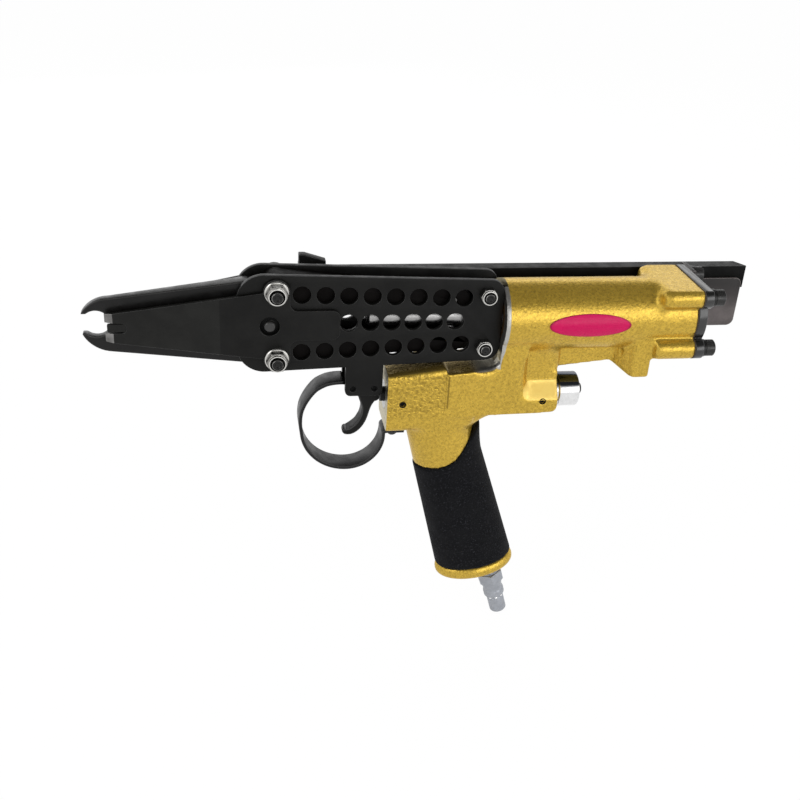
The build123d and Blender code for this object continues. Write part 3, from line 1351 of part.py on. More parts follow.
def air_plug():
    """The plug that an air coupler snaps on to."""
    hex_end = PLUG_FREE_THREAD + PLUG_HEX_HEIGHT
    place = handle_plane(HANDLE_BOTTOM) * Pos(AIR_OFFSET, 0)
    collar = Pos(0, 0, PLUG_FREE_THREAD) * extrude(hexagon(PLUG_FLATS), PLUG_HEX_HEIGHT)
    profile = make_face(
        Polyline(
            (PLUG_BORE_RADIUS, -PLUG_THREAD_LENGTH),
            (PLUG_THREAD_RADIUS, -PLUG_THREAD_LENGTH),
            (PLUG_THREAD_RADIUS, hex_end),
            (PLUG_NECK_RADIUS, hex_end),
            (PLUG_WAIST_RADIUS, PLUG_WAIST_START),
            (PLUG_WAIST_RADIUS, PLUG_WAIST_END),
            (PLUG_BULGE_RADIUS, PLUG_BULGE_START),
            (PLUG_BULGE_RADIUS, PLUG_BULGE_END),
            (PLUG_GROOVE_RADIUS, PLUG_BULGE_END),
            (PLUG_GROOVE_RADIUS, PLUG_GROOVE_END),
            (PLUG_NOSE_RADIUS, PLUG_GROOVE_END),
            (PLUG_NOSE_RADIUS, PLUG_LENGTH - PLUG_NOSE_CHAMFER),
            (PLUG_NOSE_RADIUS - PLUG_NOSE_CHAMFER, PLUG_LENGTH),
            (PLUG_BORE_RADIUS, PLUG_LENGTH),
            close=True,
        )
    )
    turned = revolve(Plane.XZ * profile, Axis.Z)
    bore = Pos(0, 0, PLUG_FREE_THREAD) * extrude(Circle(PLUG_BORE_RADIUS), PLUG_HEX_HEIGHT)
    return place * (turned + (collar - bore))


def oval_label():
    """The bare oval label on the near side of the barrel."""
    outline = Pos(LABEL_X, LABEL_Z) * Ellipse(LABEL_LENGTH / 2, LABEL_HEIGHT / 2)
    shell = bar_x(BARREL_RADIUS + LABEL_THICKNESS, BARREL_FRONT_X, BLOCK_FRONT_X)
    shell -= bar_x(BARREL_RADIUS, BARREL_FRONT_X, BLOCK_FRONT_X)
    return shell & along_y(outline, -2 * BARREL_RADIUS, -BARREL_RADIUS / 2)


def all_pieces():
    """Every piece by name, still drawn from the jaw bolts and the bore axis."""
    upper = {"jaw_bush": jaw_bush(), "roller": cam_roller(), "roller_pin": roller_pin()}
    pieces = {
        "upper_jaw": hooked_jaw(0),
        "lower_jaw": to_lower_side(hooked_jaw(LOWER_JAW_DEEPEN)),
        "main_body": main_body(),
        "grip_sleeve": grip_sleeve(),
        "side_plate_near": side_plate(),
        "side_plate_far": to_far_side(side_plate()),
        "nose_plate_near": nose_plate(),
        "nose_plate_far": to_far_side(nose_plate()),
        "nose_pin": nose_pin(),
        "jaw_bolts": jaw_bolts(),
        "jaw_nuts": jaw_nuts(),
        "rear_bolts": rear_bolts(),
        "rear_nuts": rear_nuts(),
        "drive_rod": drive_rod(),
        "piston": piston(),
        "piston_seal": piston_seal(),
        "piston_nut": piston_nut(),
        "rod_bush": rod_bush(),
        "bumper": bumper(),
        "return_spring": return_spring(),
        "end_cap": end_cap(),
        "cap_gasket": cap_gasket(),
        "cap_screws": cap_screws(),
        "cap_washers": cap_washers(),
        "valve_sleeve": valve_sleeve(),
        "valve_stem": valve_stem(),
        "stem_seals": stem_seals(),
        "valve_spring": valve_spring(),
        "valve_end_cap": valve_end_cap(),
        "valve_cap_screw": valve_cap_screw(),
        "locating_pins": locating_pins(),
        "trigger": trigger(),
        "trigger_pin": link_pin(TRIGGER_PIN_X),
        "guard_pin": link_pin(GUARD_PIN_X),
        "trigger_guard": trigger_guard(),
        "guard_screw": guard_screw(),
        "magazine_rail": magazine_rail(),
        "feed_track": feed_track(),
        "rail_bracket": rail_bracket(),
        "rail_stay": rail_stay(),
        "pusher": pusher(),
        "feed_spring": feed_spring(),
        "air_plug": air_plug(),
        "oval_label": oval_label(),
    }
    for name, shape in upper.items():
        pieces["upper_" + name] = shape
        pieces["lower_" + name] = to_lower_side(shape)
    return pieces


def main():
    """Set every piece down on the grip's centre and write it."""
    os.makedirs("parts", exist_ok=True)
    place = Location((-GRIP_CENTRE_X, 0, -GRIP_CENTRE_Z))
    for name, shape in all_pieces().items():
        export_step(place * shape, os.path.join("parts", name + ".step"))


if __name__ == "__main__":
    main()
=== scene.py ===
"""Looks of a pneumatic ring stapler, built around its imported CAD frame.

Sizes in the classes are millimetres from the jaw bolts and the bore axis, as a maker would give them.
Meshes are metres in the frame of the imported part, whose origin is the centre of the grip.
"""

import logging
import math
from contextlib import contextmanager
from dataclasses import dataclass, field
from enum import Enum
from functools import cached_property, reduce
from typing import Iterable, Iterator, Optional, Sequence

import bmesh
import bpy
import numpy as np
from mathutils import Euler, Matrix, Vector


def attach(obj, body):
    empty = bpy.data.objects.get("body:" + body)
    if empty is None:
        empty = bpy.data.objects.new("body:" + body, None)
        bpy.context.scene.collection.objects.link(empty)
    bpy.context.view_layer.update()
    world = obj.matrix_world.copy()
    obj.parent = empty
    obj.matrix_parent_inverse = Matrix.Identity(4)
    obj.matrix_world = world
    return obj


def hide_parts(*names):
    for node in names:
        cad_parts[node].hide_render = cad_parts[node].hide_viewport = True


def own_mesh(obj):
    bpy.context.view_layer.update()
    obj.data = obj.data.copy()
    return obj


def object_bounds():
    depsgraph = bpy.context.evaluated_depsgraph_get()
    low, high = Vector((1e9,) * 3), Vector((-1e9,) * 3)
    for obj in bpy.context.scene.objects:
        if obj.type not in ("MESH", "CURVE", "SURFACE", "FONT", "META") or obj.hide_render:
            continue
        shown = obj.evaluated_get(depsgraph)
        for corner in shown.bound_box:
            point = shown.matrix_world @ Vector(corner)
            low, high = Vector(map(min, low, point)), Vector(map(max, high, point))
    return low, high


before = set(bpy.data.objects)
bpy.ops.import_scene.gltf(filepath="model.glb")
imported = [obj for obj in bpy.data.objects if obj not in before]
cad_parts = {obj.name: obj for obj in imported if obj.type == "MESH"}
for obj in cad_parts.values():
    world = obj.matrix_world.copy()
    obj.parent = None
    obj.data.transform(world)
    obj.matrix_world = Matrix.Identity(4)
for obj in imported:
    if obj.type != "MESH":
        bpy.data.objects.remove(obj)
CAD_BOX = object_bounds()

LOG = logging.getLogger("ring_stapler")
MM = 0.001
MERGE_M = 2e-6
TINY = 1e-6
GRIP_CENTRE_MM = Vector((102.25, 0.0, -110.0))

Pair = tuple[float, float]
Triple = tuple[float, float, float]
Colour = Triple
Mesh = bpy.types.Mesh
Object = bpy.types.Object
Socket = bpy.types.NodeSocket
Axes = dict[str, Socket]
Rows = tuple[tuple[float, ...], ...]

BACK: Triple = (1.0, 0.0, 0.0)
NEAR: Triple = (0.0, -1.0, 0.0)
WHITE: Colour = (1.0, 1.0, 1.0)


class Body(Enum):
    """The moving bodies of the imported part."""

    HOUSING = "housing"
    PISTON = "piston"
    UPPER_JAW = "upper_jaw"
    UPPER_ROLLER = "upper_roller"
    LOWER_JAW = "lower_jaw"
    LOWER_ROLLER = "lower_roller"
    PUSHER = "pusher"
    TRIGGER = "trigger"
    VALVE_STEM = "valve_stem"


class Slot(Enum):
    """The record's material slots, listed with the dressed pieces."""

    GOLD_CASTING = "gold_casting"
    BLACK_STEEL = "black_steel"
    BROWN_STEEL = "brown_steel"
    BRIGHT_STEEL = "bright_steel"
    NICKEL = "nickel"
    BLACK_RUBBER = "black_rubber"
    SPRING_STEEL = "spring_steel"
    ALUMINIUM = "aluminium"
    GASKET_PAPER = "gasket_paper"
    MAGENTA_LABEL = "magenta_label"


class Axis(Enum):
    """An axis that a turned surface runs round."""

    X = "X"
    Y = "Y"
    Z = "Z"


def part_point(x: float, y: float, z: float) -> Vector:
    """A point of the drawing, in millimetres from the jaw bolts, in metres from the grip's centre."""
    return (Vector((x, y, z)) - GRIP_CENTRE_MM) * MM


def drawn(axis: str, at_mm: float) -> float:
    """Place a length of the drawing along one axis of the part's frame, in metres."""
    return getattr(part_point(at_mm, at_mm, at_mm), axis.lower())


def dimmed(colour: Colour, share: float) -> Colour:
    """A colour at a share of its strength."""
    return tuple(share * c for c in colour)


# Node trees and finishes


class NodeTree:
    """A tree of nodes that are added with short calls."""

    def __init__(self, tree: bpy.types.NodeTree) -> None:
        """Take a material's, world's or shape's tree and empty it."""
        self.tree = tree
        self.tree.nodes.clear()

    def add(self, kind: str, **settings: object) -> bpy.types.Node:
        """Add a node.

        Args:
            kind: The node's type.
            settings: Properties of the node.

        Returns:
            The new node.
        """
        node = self.tree.nodes.new(kind)
        for key, value in settings.items():
            setattr(node, key, value)
        return node

    def link(self, source: Socket, target: Socket) -> None:
        """Join two sockets."""
        self.tree.links.new(source, target)

    def fill(self, target: Socket, value: object) -> None:
        """Drive a socket from another, or set its value, with a colour made opaque.

        Args:
            target: The socket.
            value: A socket, a number or a colour.
        """
        if isinstance(value, Socket):
            self.link(value, target)
        else:
            target.default_value = (*value, 1.0) if isinstance(value, tuple) else value


class ShadeTree(NodeTree):
    """A tree of shader nodes, with patterns and masks in millimetres."""

    cloud_middle: Pair = (0.3, 0.7)

    @cached_property
    def place(self) -> bpy.types.Node:
        """The node that gives coordinates."""
        return self.add("ShaderNodeTexCoord")

    @cached_property
    def here(self) -> Axes:
        """Object coordinates by axis."""
        return self.split(self.place.outputs["Object"])

    @cached_property
    def facing(self) -> Axes:
        """The surface's direction by axis."""
        return self.split(self.place.outputs["Normal"])

    def mapped(self, vector_type: str, **inputs: Sequence[float]) -> Socket:
        """Object coordinates that are moved or scaled.

        Args:
            vector_type: Blender's name of the kind of mapping.
            inputs: Location or scale.

        Returns:
            The coordinates.
        """
        node = self.add("ShaderNodeMapping", vector_type=vector_type)
        for key, value in inputs.items():
            node.inputs[key].default_value = value
        self.link(self.place.outputs["Object"], node.inputs["Vector"])
        return node.outputs["Vector"]

    def split(self, source: Socket) -> Axes:
        """The X, Y and Z of a vector."""
        node = self.add("ShaderNodeSeparateXYZ")
        self.link(source, node.inputs["Vector"])
        return {axis: node.outputs[axis] for axis in "XYZ"}

    def over(self, source: Socket, limit: float, fade_mm: float) -> Socket:
        """One where a length in metres is over a limit, fading to zero below it."""
        return self.remap(source, limit - fade_mm * MM, limit)

    def under(self, source: Socket, limit: float, fade_mm: float) -> Socket:
        """One where a length in metres is under a limit, fading to zero above it."""
        return self.remap(source, limit + fade_mm * MM, limit)

    def past(self, axis: str, limit_mm: float, fade_mm: float) -> Socket:
        """One beyond a place of the drawing on an axis, fading to zero before it."""
        return self.over(self.here[axis], drawn(axis, limit_mm), fade_mm)

    def before(self, axis: str, limit_mm: float, fade_mm: float) -> Socket:
        """One before a place of the drawing on an axis, fading to zero beyond it."""
        return self.under(self.here[axis], drawn(axis, limit_mm), fade_mm)

    def within(self, half_mm: float, fade_mm: float) -> Socket:
        """One within a distance of the mid plane, fading to zero beyond it."""
        return self.under(self.math("ABSOLUTE", self.here["Y"]), half_mm * MM, fade_mm)

    def sideways(self, low: float, high: float) -> Socket:
        """How squarely the surface faces to a side, stretched between two shares."""
        return self.remap(self.math("ABSOLUTE", self.facing["Y"]), low, high)

    def off(self, x_mm: float) -> Socket:
        """Distance in metres from a plane across X."""
        return self.math("ABSOLUTE", self.math("SUBTRACT", self.here["X"], drawn("X", x_mm)))

    def noise(self, size_mm: float, detail: float = 2.0, rough: float = 0.5, at: Optional[Socket] = None) -> Socket:
        """A cloudy pattern.

        Args:
            size_mm: Size of its features.
            detail: Octaves.
            rough: Weight of the finer octaves.
            at: Coordinates, or the object's own.

        Returns:
            The pattern, about 0 to 1.
        """
        node = self.add("ShaderNodeTexNoise")
        for key, value in (("Scale", 1.0 / (size_mm * MM)), ("Detail", detail), ("Roughness", rough)):
            node.inputs[key].default_value = value
        self.link(at or self.place.outputs["Object"], node.inputs["Vector"])
        return node.outputs["Fac"]

    def remap(self, source: Socket, low: float, high: float, to_low: float = 0.0, to_high: float = 1.0) -> Socket:
        """Stretch a range of values smoothly to another range.

        Args:
            source: The values.
            low: Value that becomes to_low.
            high: Value that becomes to_high.
            to_low: Start of the new range.
            to_high: End of the new range.

        Returns:
            The new values.
        """
        node = self.add("ShaderNodeMapRange", interpolation_type="SMOOTHSTEP")
        for key, value in (("From Min", low), ("From Max", high), ("To Min", to_low), ("To Max", to_high)):
            node.inputs[key].default_value = value
        self.link(source, node.inputs["Value"])
        return node.outputs["Result"]

    def middle(self, cloud: Socket, to_low: float = 0.0, to_high: float = 1.0) -> Socket:
        """Stretch the middle of a cloudy pattern, where most of it lies, to a range."""
        return self.remap(cloud, *self.cloud_middle, to_low, to_high)

    def math(self, operation: str, a: object, b: object = 0.0, c: object = 0.0) -> Socket:
        """Combine values.

        Args:
            operation: Blender's name of the operation.
            a: First value or socket.
            b: Second value or socket.
            c: Third value or socket.

        Returns:
            The result.
        """
        node = self.add("ShaderNodeMath", operation=operation)
        for socket, value in zip(node.inputs, (a, b, c)):
            self.fill(socket, value)
        return node.outputs["Value"]

    def both(self, *masks: Socket) -> Socket:
        """The product of masks."""
        return reduce(lambda a, b: self.math("MULTIPLY", a, b), masks)

    def blend(self, factor: Socket, a: object, b: object) -> Socket:
        """Mix two numbers or sockets."""
        node = self.add("ShaderNodeMix")
        for key, value in (("Factor", factor), ("A", a), ("B", b)):
            self.fill(node.inputs[key], value)
        return node.outputs["Result"]

    def mix(self, factor: Socket, a: object, b: object) -> Socket:
        """Mix two colours.

        Args:
            factor: How much of the second colour.
            a: First colour or socket.
            b: Second colour or socket.

        Returns:
            The mixed colour.
        """
        node = self.add("ShaderNodeMix", data_type="RGBA")
        for index, value in ((0, factor), (6, a), (7, b)):
            self.fill(node.inputs[index], value)
        return node.outputs[2]

    def bump(self, height: Socket, depth_mm: float, strength: float, over: Optional[Socket] = None) -> Socket:
        """Turn a height pattern into a normal.

        Args:
            height: The pattern.
            depth_mm: Height of one unit of the pattern.
            strength: Weight of the bump.
            over: A normal that this one is laid over.

        Returns:
            The normal.
        """
        node = self.add("ShaderNodeBump")
        node.inputs["Distance"].default_value = depth_mm * MM
        node.inputs["Strength"].default_value = strength
        self.link(height, node.inputs["Height"])
        if over is not None:
            self.link(over, node.inputs["Normal"])
        return node.outputs["Normal"]


class ShaderTree(ShadeTree):
    """The tree of a new material, with its shader and output."""

    def __init__(self, name: str) -> None:
        """Start the material.

        Args:
            name: The material's name.
        """
        self.material = bpy.data.materials.new(name)
        self.material.use_nodes = True
        super().__init__(self.material.node_tree)
        self.shader = self.add("ShaderNodeBsdfPrincipled")
        self.output = self.add("ShaderNodeOutputMaterial")
        self.link(self.shader.outputs["BSDF"], self.output.inputs["Surface"])

    def set(self, **values: object) -> None:
        """Fill the shader's own sockets, with underscores for spaces in their names."""
        for key, value in values.items():
            self.fill(self.shader.inputs[key.replace("_", " ")], value)


@dataclass(frozen=True)
class Finish:
    """A surface finish that paints its own nodes."""

    name: str

    def paint(self, tree: ShaderTree) -> None:
        """Add the finish's nodes to a new material."""
        raise NotImplementedError

    def material(self) -> bpy.types.Material:
        """The finish's material, made once."""
        found = bpy.data.materials.get(self.name)
        if found is None:
            tree = ShaderTree(self.name)
            self.paint(tree)
            found = tree.material
        return found


@dataclass(frozen=True)
class HammertonePaint(Finish):
    """Gold hammertone paint on a casting, with bare machined faces."""

    colour: Colour
    # Dark colour of the real flecks, also used for the painted shade in the folds and behind the seam
    fleck_and_shade: Colour
    bare: Colour
    machined_x_mm: Pair
    deep_share: float = 0.86
    fleck_mm: float = 1.3
    fleck_range: Pair = (0.32, 0.68)
    fleck_weight: float = 0.40
    speck_mm: float = 0.6
    speck_range: Pair = (0.56, 0.70)
    speck_weight: float = 0.45
    tone_mm: float = 26.0
    tone_weight: float = 0.2
    dimple_mm: float = 1.3
    depth_mm: float = 0.20
    dimple_strength: float = 0.85
    roughness: float = 0.29
    shine_mm: float = 1.6
    shine_spread: Pair = (-0.05, 0.09)
    metallic: float = 0.62
    specular: float = 0.25
    coat: float = 0.16
    coat_roughness: float = 0.22
    edge_tint: Colour = (1.0, 0.92, 0.70)
    bare_metallic: float = 0.96
    bare_dull: float = 0.05
    bare_shade: float = 0.72
    line_mm: float = 0.35
    line_scale: Triple = (1.0, 0.04, 1.0)
    near_face_mm: Pair = (0.6, 0.35)
    wrinkled_mm: tuple[float, float, float, float] = (58.0, 88.0, -50.0, -29.5)
    wrinkle_mm: float = 2.8
    wrinkle_width: float = 0.16
    wrinkle_depth_mm: float = 0.38
    wrinkle_strength: float = 0.6
    fold_shade_weight: float = 0.38
    seam_mm: Triple = (88.6, -46.0, -29.0)
    seam_lines_mm: tuple[Pair, Pair] = ((0.0, 0.75), (0.85, 0.65))
    seam_core_mm: float = 0.15
    seam_depth_mm: float = 0.5
    seam_strength: float = 0.8
    seam_shade_weight: float = 0.9
    ledge_mm: tuple[float, float, float, float] = (130.6, -39.8, 4.4, 14.6)
    ledge_dull: float = 0.2
    # Colour of the painted highlight on the ledge
    pale: Colour = (0.88, 0.64, 0.17)
    # Colour and place of the painted shade and reflection on the faces right under the side plates
    under_plate_shade: Colour = (0.22, 0.148, 0.034)
    under_plate_shade_mm: Triple = (108.0, -33.0, -20.0)
    turned_mm: Triple = (115.0, 116.4, 118.1)
    turned_z_mm: Pair = (-25.0, -12.0)
    corner_mm: Triple = (108.8, 116.6, -28.6)
    between_plates_mm: Triple = (118.0, 6.3, -24.0)
    # Colour of the painted shade on the casting between the side plates
    shade_between_plates: Colour = (0.02, 0.017, 0.014)

    def paint(self, tree: ShaderTree) -> None:
        """Lay flecks and dimples over the gold, paint shade into its folds, behind the seam, under and between the
        plates, paint a highlight on the ledge, and leave the machined faces bare.
        """
        ridges, folds = self.worms(tree)
        seam, shade = self.seam(tree)
        ledge, bare = self.ledge(tree), self.bare_mask(tree)
        flecks = tree.remap(tree.noise(self.fleck_mm, 1.5, 0.6), *self.fleck_range)
        dark = tree.remap(tree.noise(self.speck_mm, 1.0), *self.speck_range, 0.0, self.speck_weight)
        # Painted shade: the folds between the wrinkles and the crease behind the seam are darkened, along with the
        # real specks and flecks
        for mask, weight in ((flecks, self.fleck_weight), (folds, self.fold_shade_weight), (shade, self.seam_shade_weight)):
            dark = tree.math("MULTIPLY_ADD", mask, weight, dark)
        tone = tree.middle(tree.noise(self.tone_mm), 0.0, self.tone_weight)
        gold = tree.mix(tone, self.colour, dimmed(self.colour, self.deep_share))
        gold = tree.mix(tree.math("MINIMUM", dark, 1.0), gold, self.fleck_and_shade)
        # Painted highlight: the ledge is made paler to stand in for the light that it catches
        gold = tree.mix(ledge, gold, self.pale)
        # Painted shade: the faces right under the side plates are darkened for the plates' shadow and dark reflection
        gold = tree.mix(self.under_plate_shade_mask(tree), gold, self.under_plate_shade)
        lines = tree.noise(self.line_mm, 2.0, 0.6, tree.mapped("POINT", Scale=self.line_scale))
        silver = tree.mix(tree.middle(lines), self.bare, dimmed(self.bare, self.bare_shade))
        # Painted shade: the casting between the side plates is darkened to stand in for the shadow in the gap
        rear, half, low = self.between_plates_mm
        inside = tree.both(tree.before("X", rear, 0.8), tree.past("Z", low, 0.8), tree.within(half, 0.3))
        shine = tree.middle(tree.noise(self.shine_mm), *(self.roughness + d for d in self.shine_spread))
        shine = tree.math("MULTIPLY_ADD", ledge, self.ledge_dull, shine)
        painted = tree.math("SUBTRACT", tree.math("SUBTRACT", 1.0, bare), ledge)
        dimples = tree.both(tree.noise(self.dimple_mm, 2.0, 0.55), painted)
        normal = tree.bump(dimples, self.depth_mm, self.dimple_strength)
        normal = tree.bump(ridges, self.wrinkle_depth_mm, self.wrinkle_strength, normal)
        tree.set(
            Base_Color=tree.mix(inside, tree.mix(bare, gold, silver), self.shade_between_plates),
            Metallic=tree.math("MULTIPLY_ADD", bare, self.bare_metallic - self.metallic, self.metallic),
            Roughness=tree.math("MULTIPLY_ADD", bare, self.bare_dull, shine),
            Specular_IOR_Level=self.specular,
            Specular_Tint=self.edge_tint,
            Coat_Weight=self.coat,
            Coat_Roughness=self.coat_roughness,
            Normal=tree.bump(seam, self.seam_depth_mm, self.seam_strength, normal),
        )

    def under_plate_shade_mask(self, tree: ShaderTree) -> Socket:
        """One on the up-facing faces right under the side plates, where painted shade stands in for the plates' shadow
        and dark reflection, else zero.
        """
        rear, low, top = self.under_plate_shade_mm
        level = tree.both(tree.sideways(0.8, 0.5), tree.before("X", rear, 6.0))
        return tree.both(level, tree.past("Z", low, 1.5), tree.before("Z", top, 2.0))

    def ledge(self, tree: ShaderTree) -> Socket:
        """One on the smooth ledge of the side recess, which starts in a half round and gets a painted highlight, else
        zero.

        Args:
            tree: The material's tree.

        Returns:
            The mask.
        """
        front, middle, half, depth = self.ledge_mm
        ahead = tree.math("MAXIMUM", tree.math("SUBTRACT", drawn("X", front + half), tree.here["X"]), 0.0)
        above = tree.math("SUBTRACT", tree.here["Z"], drawn("Z", middle))
        away = tree.math("SQRT", tree.math("MULTIPLY_ADD", ahead, ahead, tree.both(above, above)))
        return tree.both(tree.under(away, half * MM, 0.7), tree.past("X", front, 0.5), tree.within(depth, 0.2))

    def worms(self, tree: ShaderTree) -> tuple[Socket, Socket]:
        """Worm-like wrinkles where the paint lies thick.

        Args:
            tree: The material's tree.

        Returns:
            The ridges, and the folds between them.
        """
        front, rear, low, top = self.wrinkled_mm
        length = tree.both(tree.past("X", front, 1.0), tree.before("X", rear, 1.0))
        thick = tree.both(length, tree.before("Z", top, 2.0), tree.past("Z", low, 6.0))
        away = tree.math("ABSOLUTE", tree.math("SUBTRACT", tree.noise(self.wrinkle_mm, 1.0), 0.5))
        ridges = tree.both(tree.remap(away, 0.0, self.wrinkle_width, 1.0, 0.0), thick)
        return ridges, tree.math("SUBTRACT", thick, ridges)

    def seam(self, tree: ShaderTree) -> tuple[Socket, ...]:
        """The ridge that the mould left where the front block meets the wider rear.

        Args:
            tree: The material's tree.

        Returns:
            The ridge, and the painted shade of the crease behind it.
        """
        seam_x, low, top = self.seam_mm
        span = tree.both(tree.past("Z", low, 4.0), tree.before("Z", top, 0.5), tree.sideways(0.5, 0.8))
        return tuple(
            tree.both(tree.remap(tree.off(seam_x + offset), wide * MM, self.seam_core_mm * MM), span)
            for offset, wide in self.seam_lines_mm
        )

    def bare_mask(self, tree: ShaderTree) -> Socket:
        """Where the casting is machined: on its front faces and along the corner behind the plates.

        Args:
            tree: The material's tree.

        Returns:
            One on the machined faces, else zero.
        """
        far, close = self.near_face_mm
        near = [tree.remap(tree.off(x), far * MM, close * MM) for x in self.machined_x_mm]
        forward = tree.both(tree.math("MAXIMUM", *near), tree.remap(tree.facing["X"], -0.5, -0.72))
        front, rear, floor = self.corner_mm
        corner = tree.both(tree.past("X", front, 8.0), tree.before("X", rear, 0.4))
        corner = tree.both(corner, tree.past("Z", floor, 0.5), tree.sideways(0.85, 0.6))
        front, narrow, wide = self.turned_mm
        low, high = self.turned_z_mm
        spread = tree.remap(tree.here["Z"], drawn("Z", low), drawn("Z", high), 0.0, (wide - narrow) * MM)
        rim = tree.under(tree.math("SUBTRACT", tree.here["X"], spread), drawn("X", narrow), 0.3)
        turned = tree.both(tree.past("X", front, 0.3), rim, tree.past("Z", low, 1.0))
        return tree.math("MAXIMUM", tree.math("MAXIMUM", forward, corner), turned)


@dataclass(frozen=True)
class SatinSteel(Finish):
    """Blackened, browned or bare steel with a satin face."""

    colour: Colour
    roughness: float = 0.42
    metallic: float = 0.0
    specular: float = 0.18
    cloud_mm: float = 14.0
    spread: float = 0.30
    gloss_mm: float = 5.0
    gloss_spread: float = 0.07
    grain_mm: float = 0.3
    grain_depth_mm: float = 0.012
    shade_z_mm: Optional[Pair] = None
    shaded_share: float = 0.16

    def paint(self, tree: ShaderTree) -> None:
        """Cloud the colour and the gloss, add a fine grain, and paint shade towards the top where heights for it are
        given.
        """
        clouds = tree.middle(tree.noise(self.cloud_mm, 4.0, 0.6))
        colour = tree.mix(clouds, dimmed(self.colour, 1 - self.spread), dimmed(self.colour, 1 + self.spread))
        # Painted shade: the colour darkens towards the top, between the two heights
        if self.shade_z_mm is not None:
            fade = tree.remap(tree.here["Z"], *(drawn("Z", z) for z in self.shade_z_mm))
            colour = tree.mix(fade, colour, dimmed(self.colour, self.shaded_share))
        gloss = tree.noise(self.gloss_mm, 3.0)
        tree.set(
            Base_Color=colour,
            Metallic=self.metallic,
            Specular_IOR_Level=self.specular,
            Roughness=tree.middle(gloss, self.roughness - self.gloss_spread, self.roughness + self.gloss_spread),
            Normal=tree.bump(tree.noise(self.grain_mm), self.grain_depth_mm, 0.6),
        )


@dataclass(frozen=True)
class PlatedMetal(Finish):
    """Bright plated or turned metal, with the tool marks of turning where it has an axis."""

    colour: Colour
    roughness: float = 0.24
    axis: Optional[Axis] = None
    pitch_mm: float = 0.22
    mark_depth_mm: float = 0.006
    metallic: float = 1.0
    tint_mm: float = 4.0
    tint_share: float = 0.88
    gloss_mm: float = 1.2
    gloss_range: Pair = (0.8, 1.25)
    fleck_mm: float = 0.5
    top_shade_z_mm: Optional[Pair] = None
    top_shade: Colour = (0.07, 0.078, 0.095)

    def paint(self, tree: ShaderTree) -> None:
        """Vary the tint and gloss a little, lay turning marks round the axis, and darken the top as painted shade and
        reflection where heights for it are given.
        """
        tint = tree.middle(tree.noise(self.tint_mm, 3.0))
        colour = tree.mix(tint, dimmed(self.colour, self.tint_share), self.colour)
        # Painted shade: the top is darkened to stand in for the dark reflection of what hangs above it
        if self.top_shade_z_mm is not None:
            top_shade = tree.remap(tree.here["Z"], *(drawn("Z", z) for z in self.top_shade_z_mm))
            colour = tree.mix(top_shade, colour, self.top_shade)
        gloss = tree.noise(self.gloss_mm, 3.0)
        tree.set(
            Base_Color=colour,
            Metallic=self.metallic,
            Roughness=tree.middle(gloss, *(self.roughness * share for share in self.gloss_range)),
            Normal=self.marks(tree),
        )

    def marks(self, tree: ShaderTree) -> Socket:
        """The normal of fine flecks, or of the rings that turning leaves.

        Args:
            tree: The material's tree.

        Returns:
            The normal.
        """
        if self.axis is None:
            return tree.bump(tree.noise(self.fleck_mm), self.mark_depth_mm, 0.5)
        rings = tree.add("ShaderNodeTexWave", wave_type="BANDS", bands_direction=self.axis.value)
        rings.inputs["Scale"].default_value = math.tau / (20.0 * self.pitch_mm * MM)
        rings.inputs["Distortion"].default_value = 0.0
        tree.link(tree.mapped("TEXTURE", Location=part_point(0, 0, 0)), rings.inputs["Vector"])
        return tree.bump(rings.outputs["Fac"], self.mark_depth_mm, 0.6)


@dataclass(frozen=True)
class GripRubber(Finish):
    """Soft dark rubber with a fuzzy, fine grained face."""

    colour: Colour
    speck: Colour
    grain_mm: float = 1.05
    depth_mm: float = 0.24
    worn_mm: float = 9.0
    worn_depth_mm: float = 0.3
    specular: float = 0.14
    sheen: Pair = (0.03, 0.6)

    def paint(self, tree: ShaderTree) -> None:
        """Speckle the rubber and raise a fine nap."""
        nap = tree.noise(self.grain_mm, 3.0, 0.7)
        worn = tree.noise(self.worn_mm, 3.0, 0.6)
        specks = tree.both(tree.remap(nap, 0.52, 0.74), tree.remap(worn, 0.3, 0.75, 0.3, 1.0))
        tree.set(
            Base_Color=tree.mix(specks, self.colour, self.speck),
            Roughness=tree.middle(worn, 0.78, 0.92),
            Sheen_Weight=self.sheen[0],
            Sheen_Roughness=self.sheen[1],
            Specular_IOR_Level=self.specular,
            Normal=tree.bump(worn, self.worn_depth_mm, 0.3, tree.bump(nap, self.depth_mm, 0.8)),
        )


@dataclass(frozen=True)
class PlainRubber(Finish):
    """Moulded seal rubber."""

    colour: Colour
    cloud_mm: float = 2.5
    grain_mm: float = 0.3
    grain_depth_mm: float = 0.01

    def paint(self, tree: ShaderTree) -> None:
        """Cloud the rubber a little."""
        clouds = tree.noise(self.cloud_mm, 3.0)
        tree.set(
            Base_Color=tree.mix(clouds, self.colour, dimmed(self.colour, 1.5)),
            Roughness=tree.middle(clouds, 0.5, 0.68),
            Normal=tree.bump(tree.noise(self.grain_mm), self.grain_depth_mm, 0.5),
        )


@dataclass(frozen=True)
class GasketBoard(Finish):
    """Pressed fibre gasket board."""

    colour: Colour
    fibre_mm: float = 0.8
    depth_mm: float = 0.03
    roughness: float = 0.85

    def paint(self, tree: ShaderTree) -> None:
        """Mat the fibres together."""
        fibres = tree.noise(self.fibre_mm, 5.0, 0.7)
        tree.set(
            Base_Color=tree.mix(fibres, self.colour, dimmed(self.colour, 0.5)),
            Roughness=self.roughness,
            Normal=tree.bump(fibres, self.depth_mm, 0.6),
        )


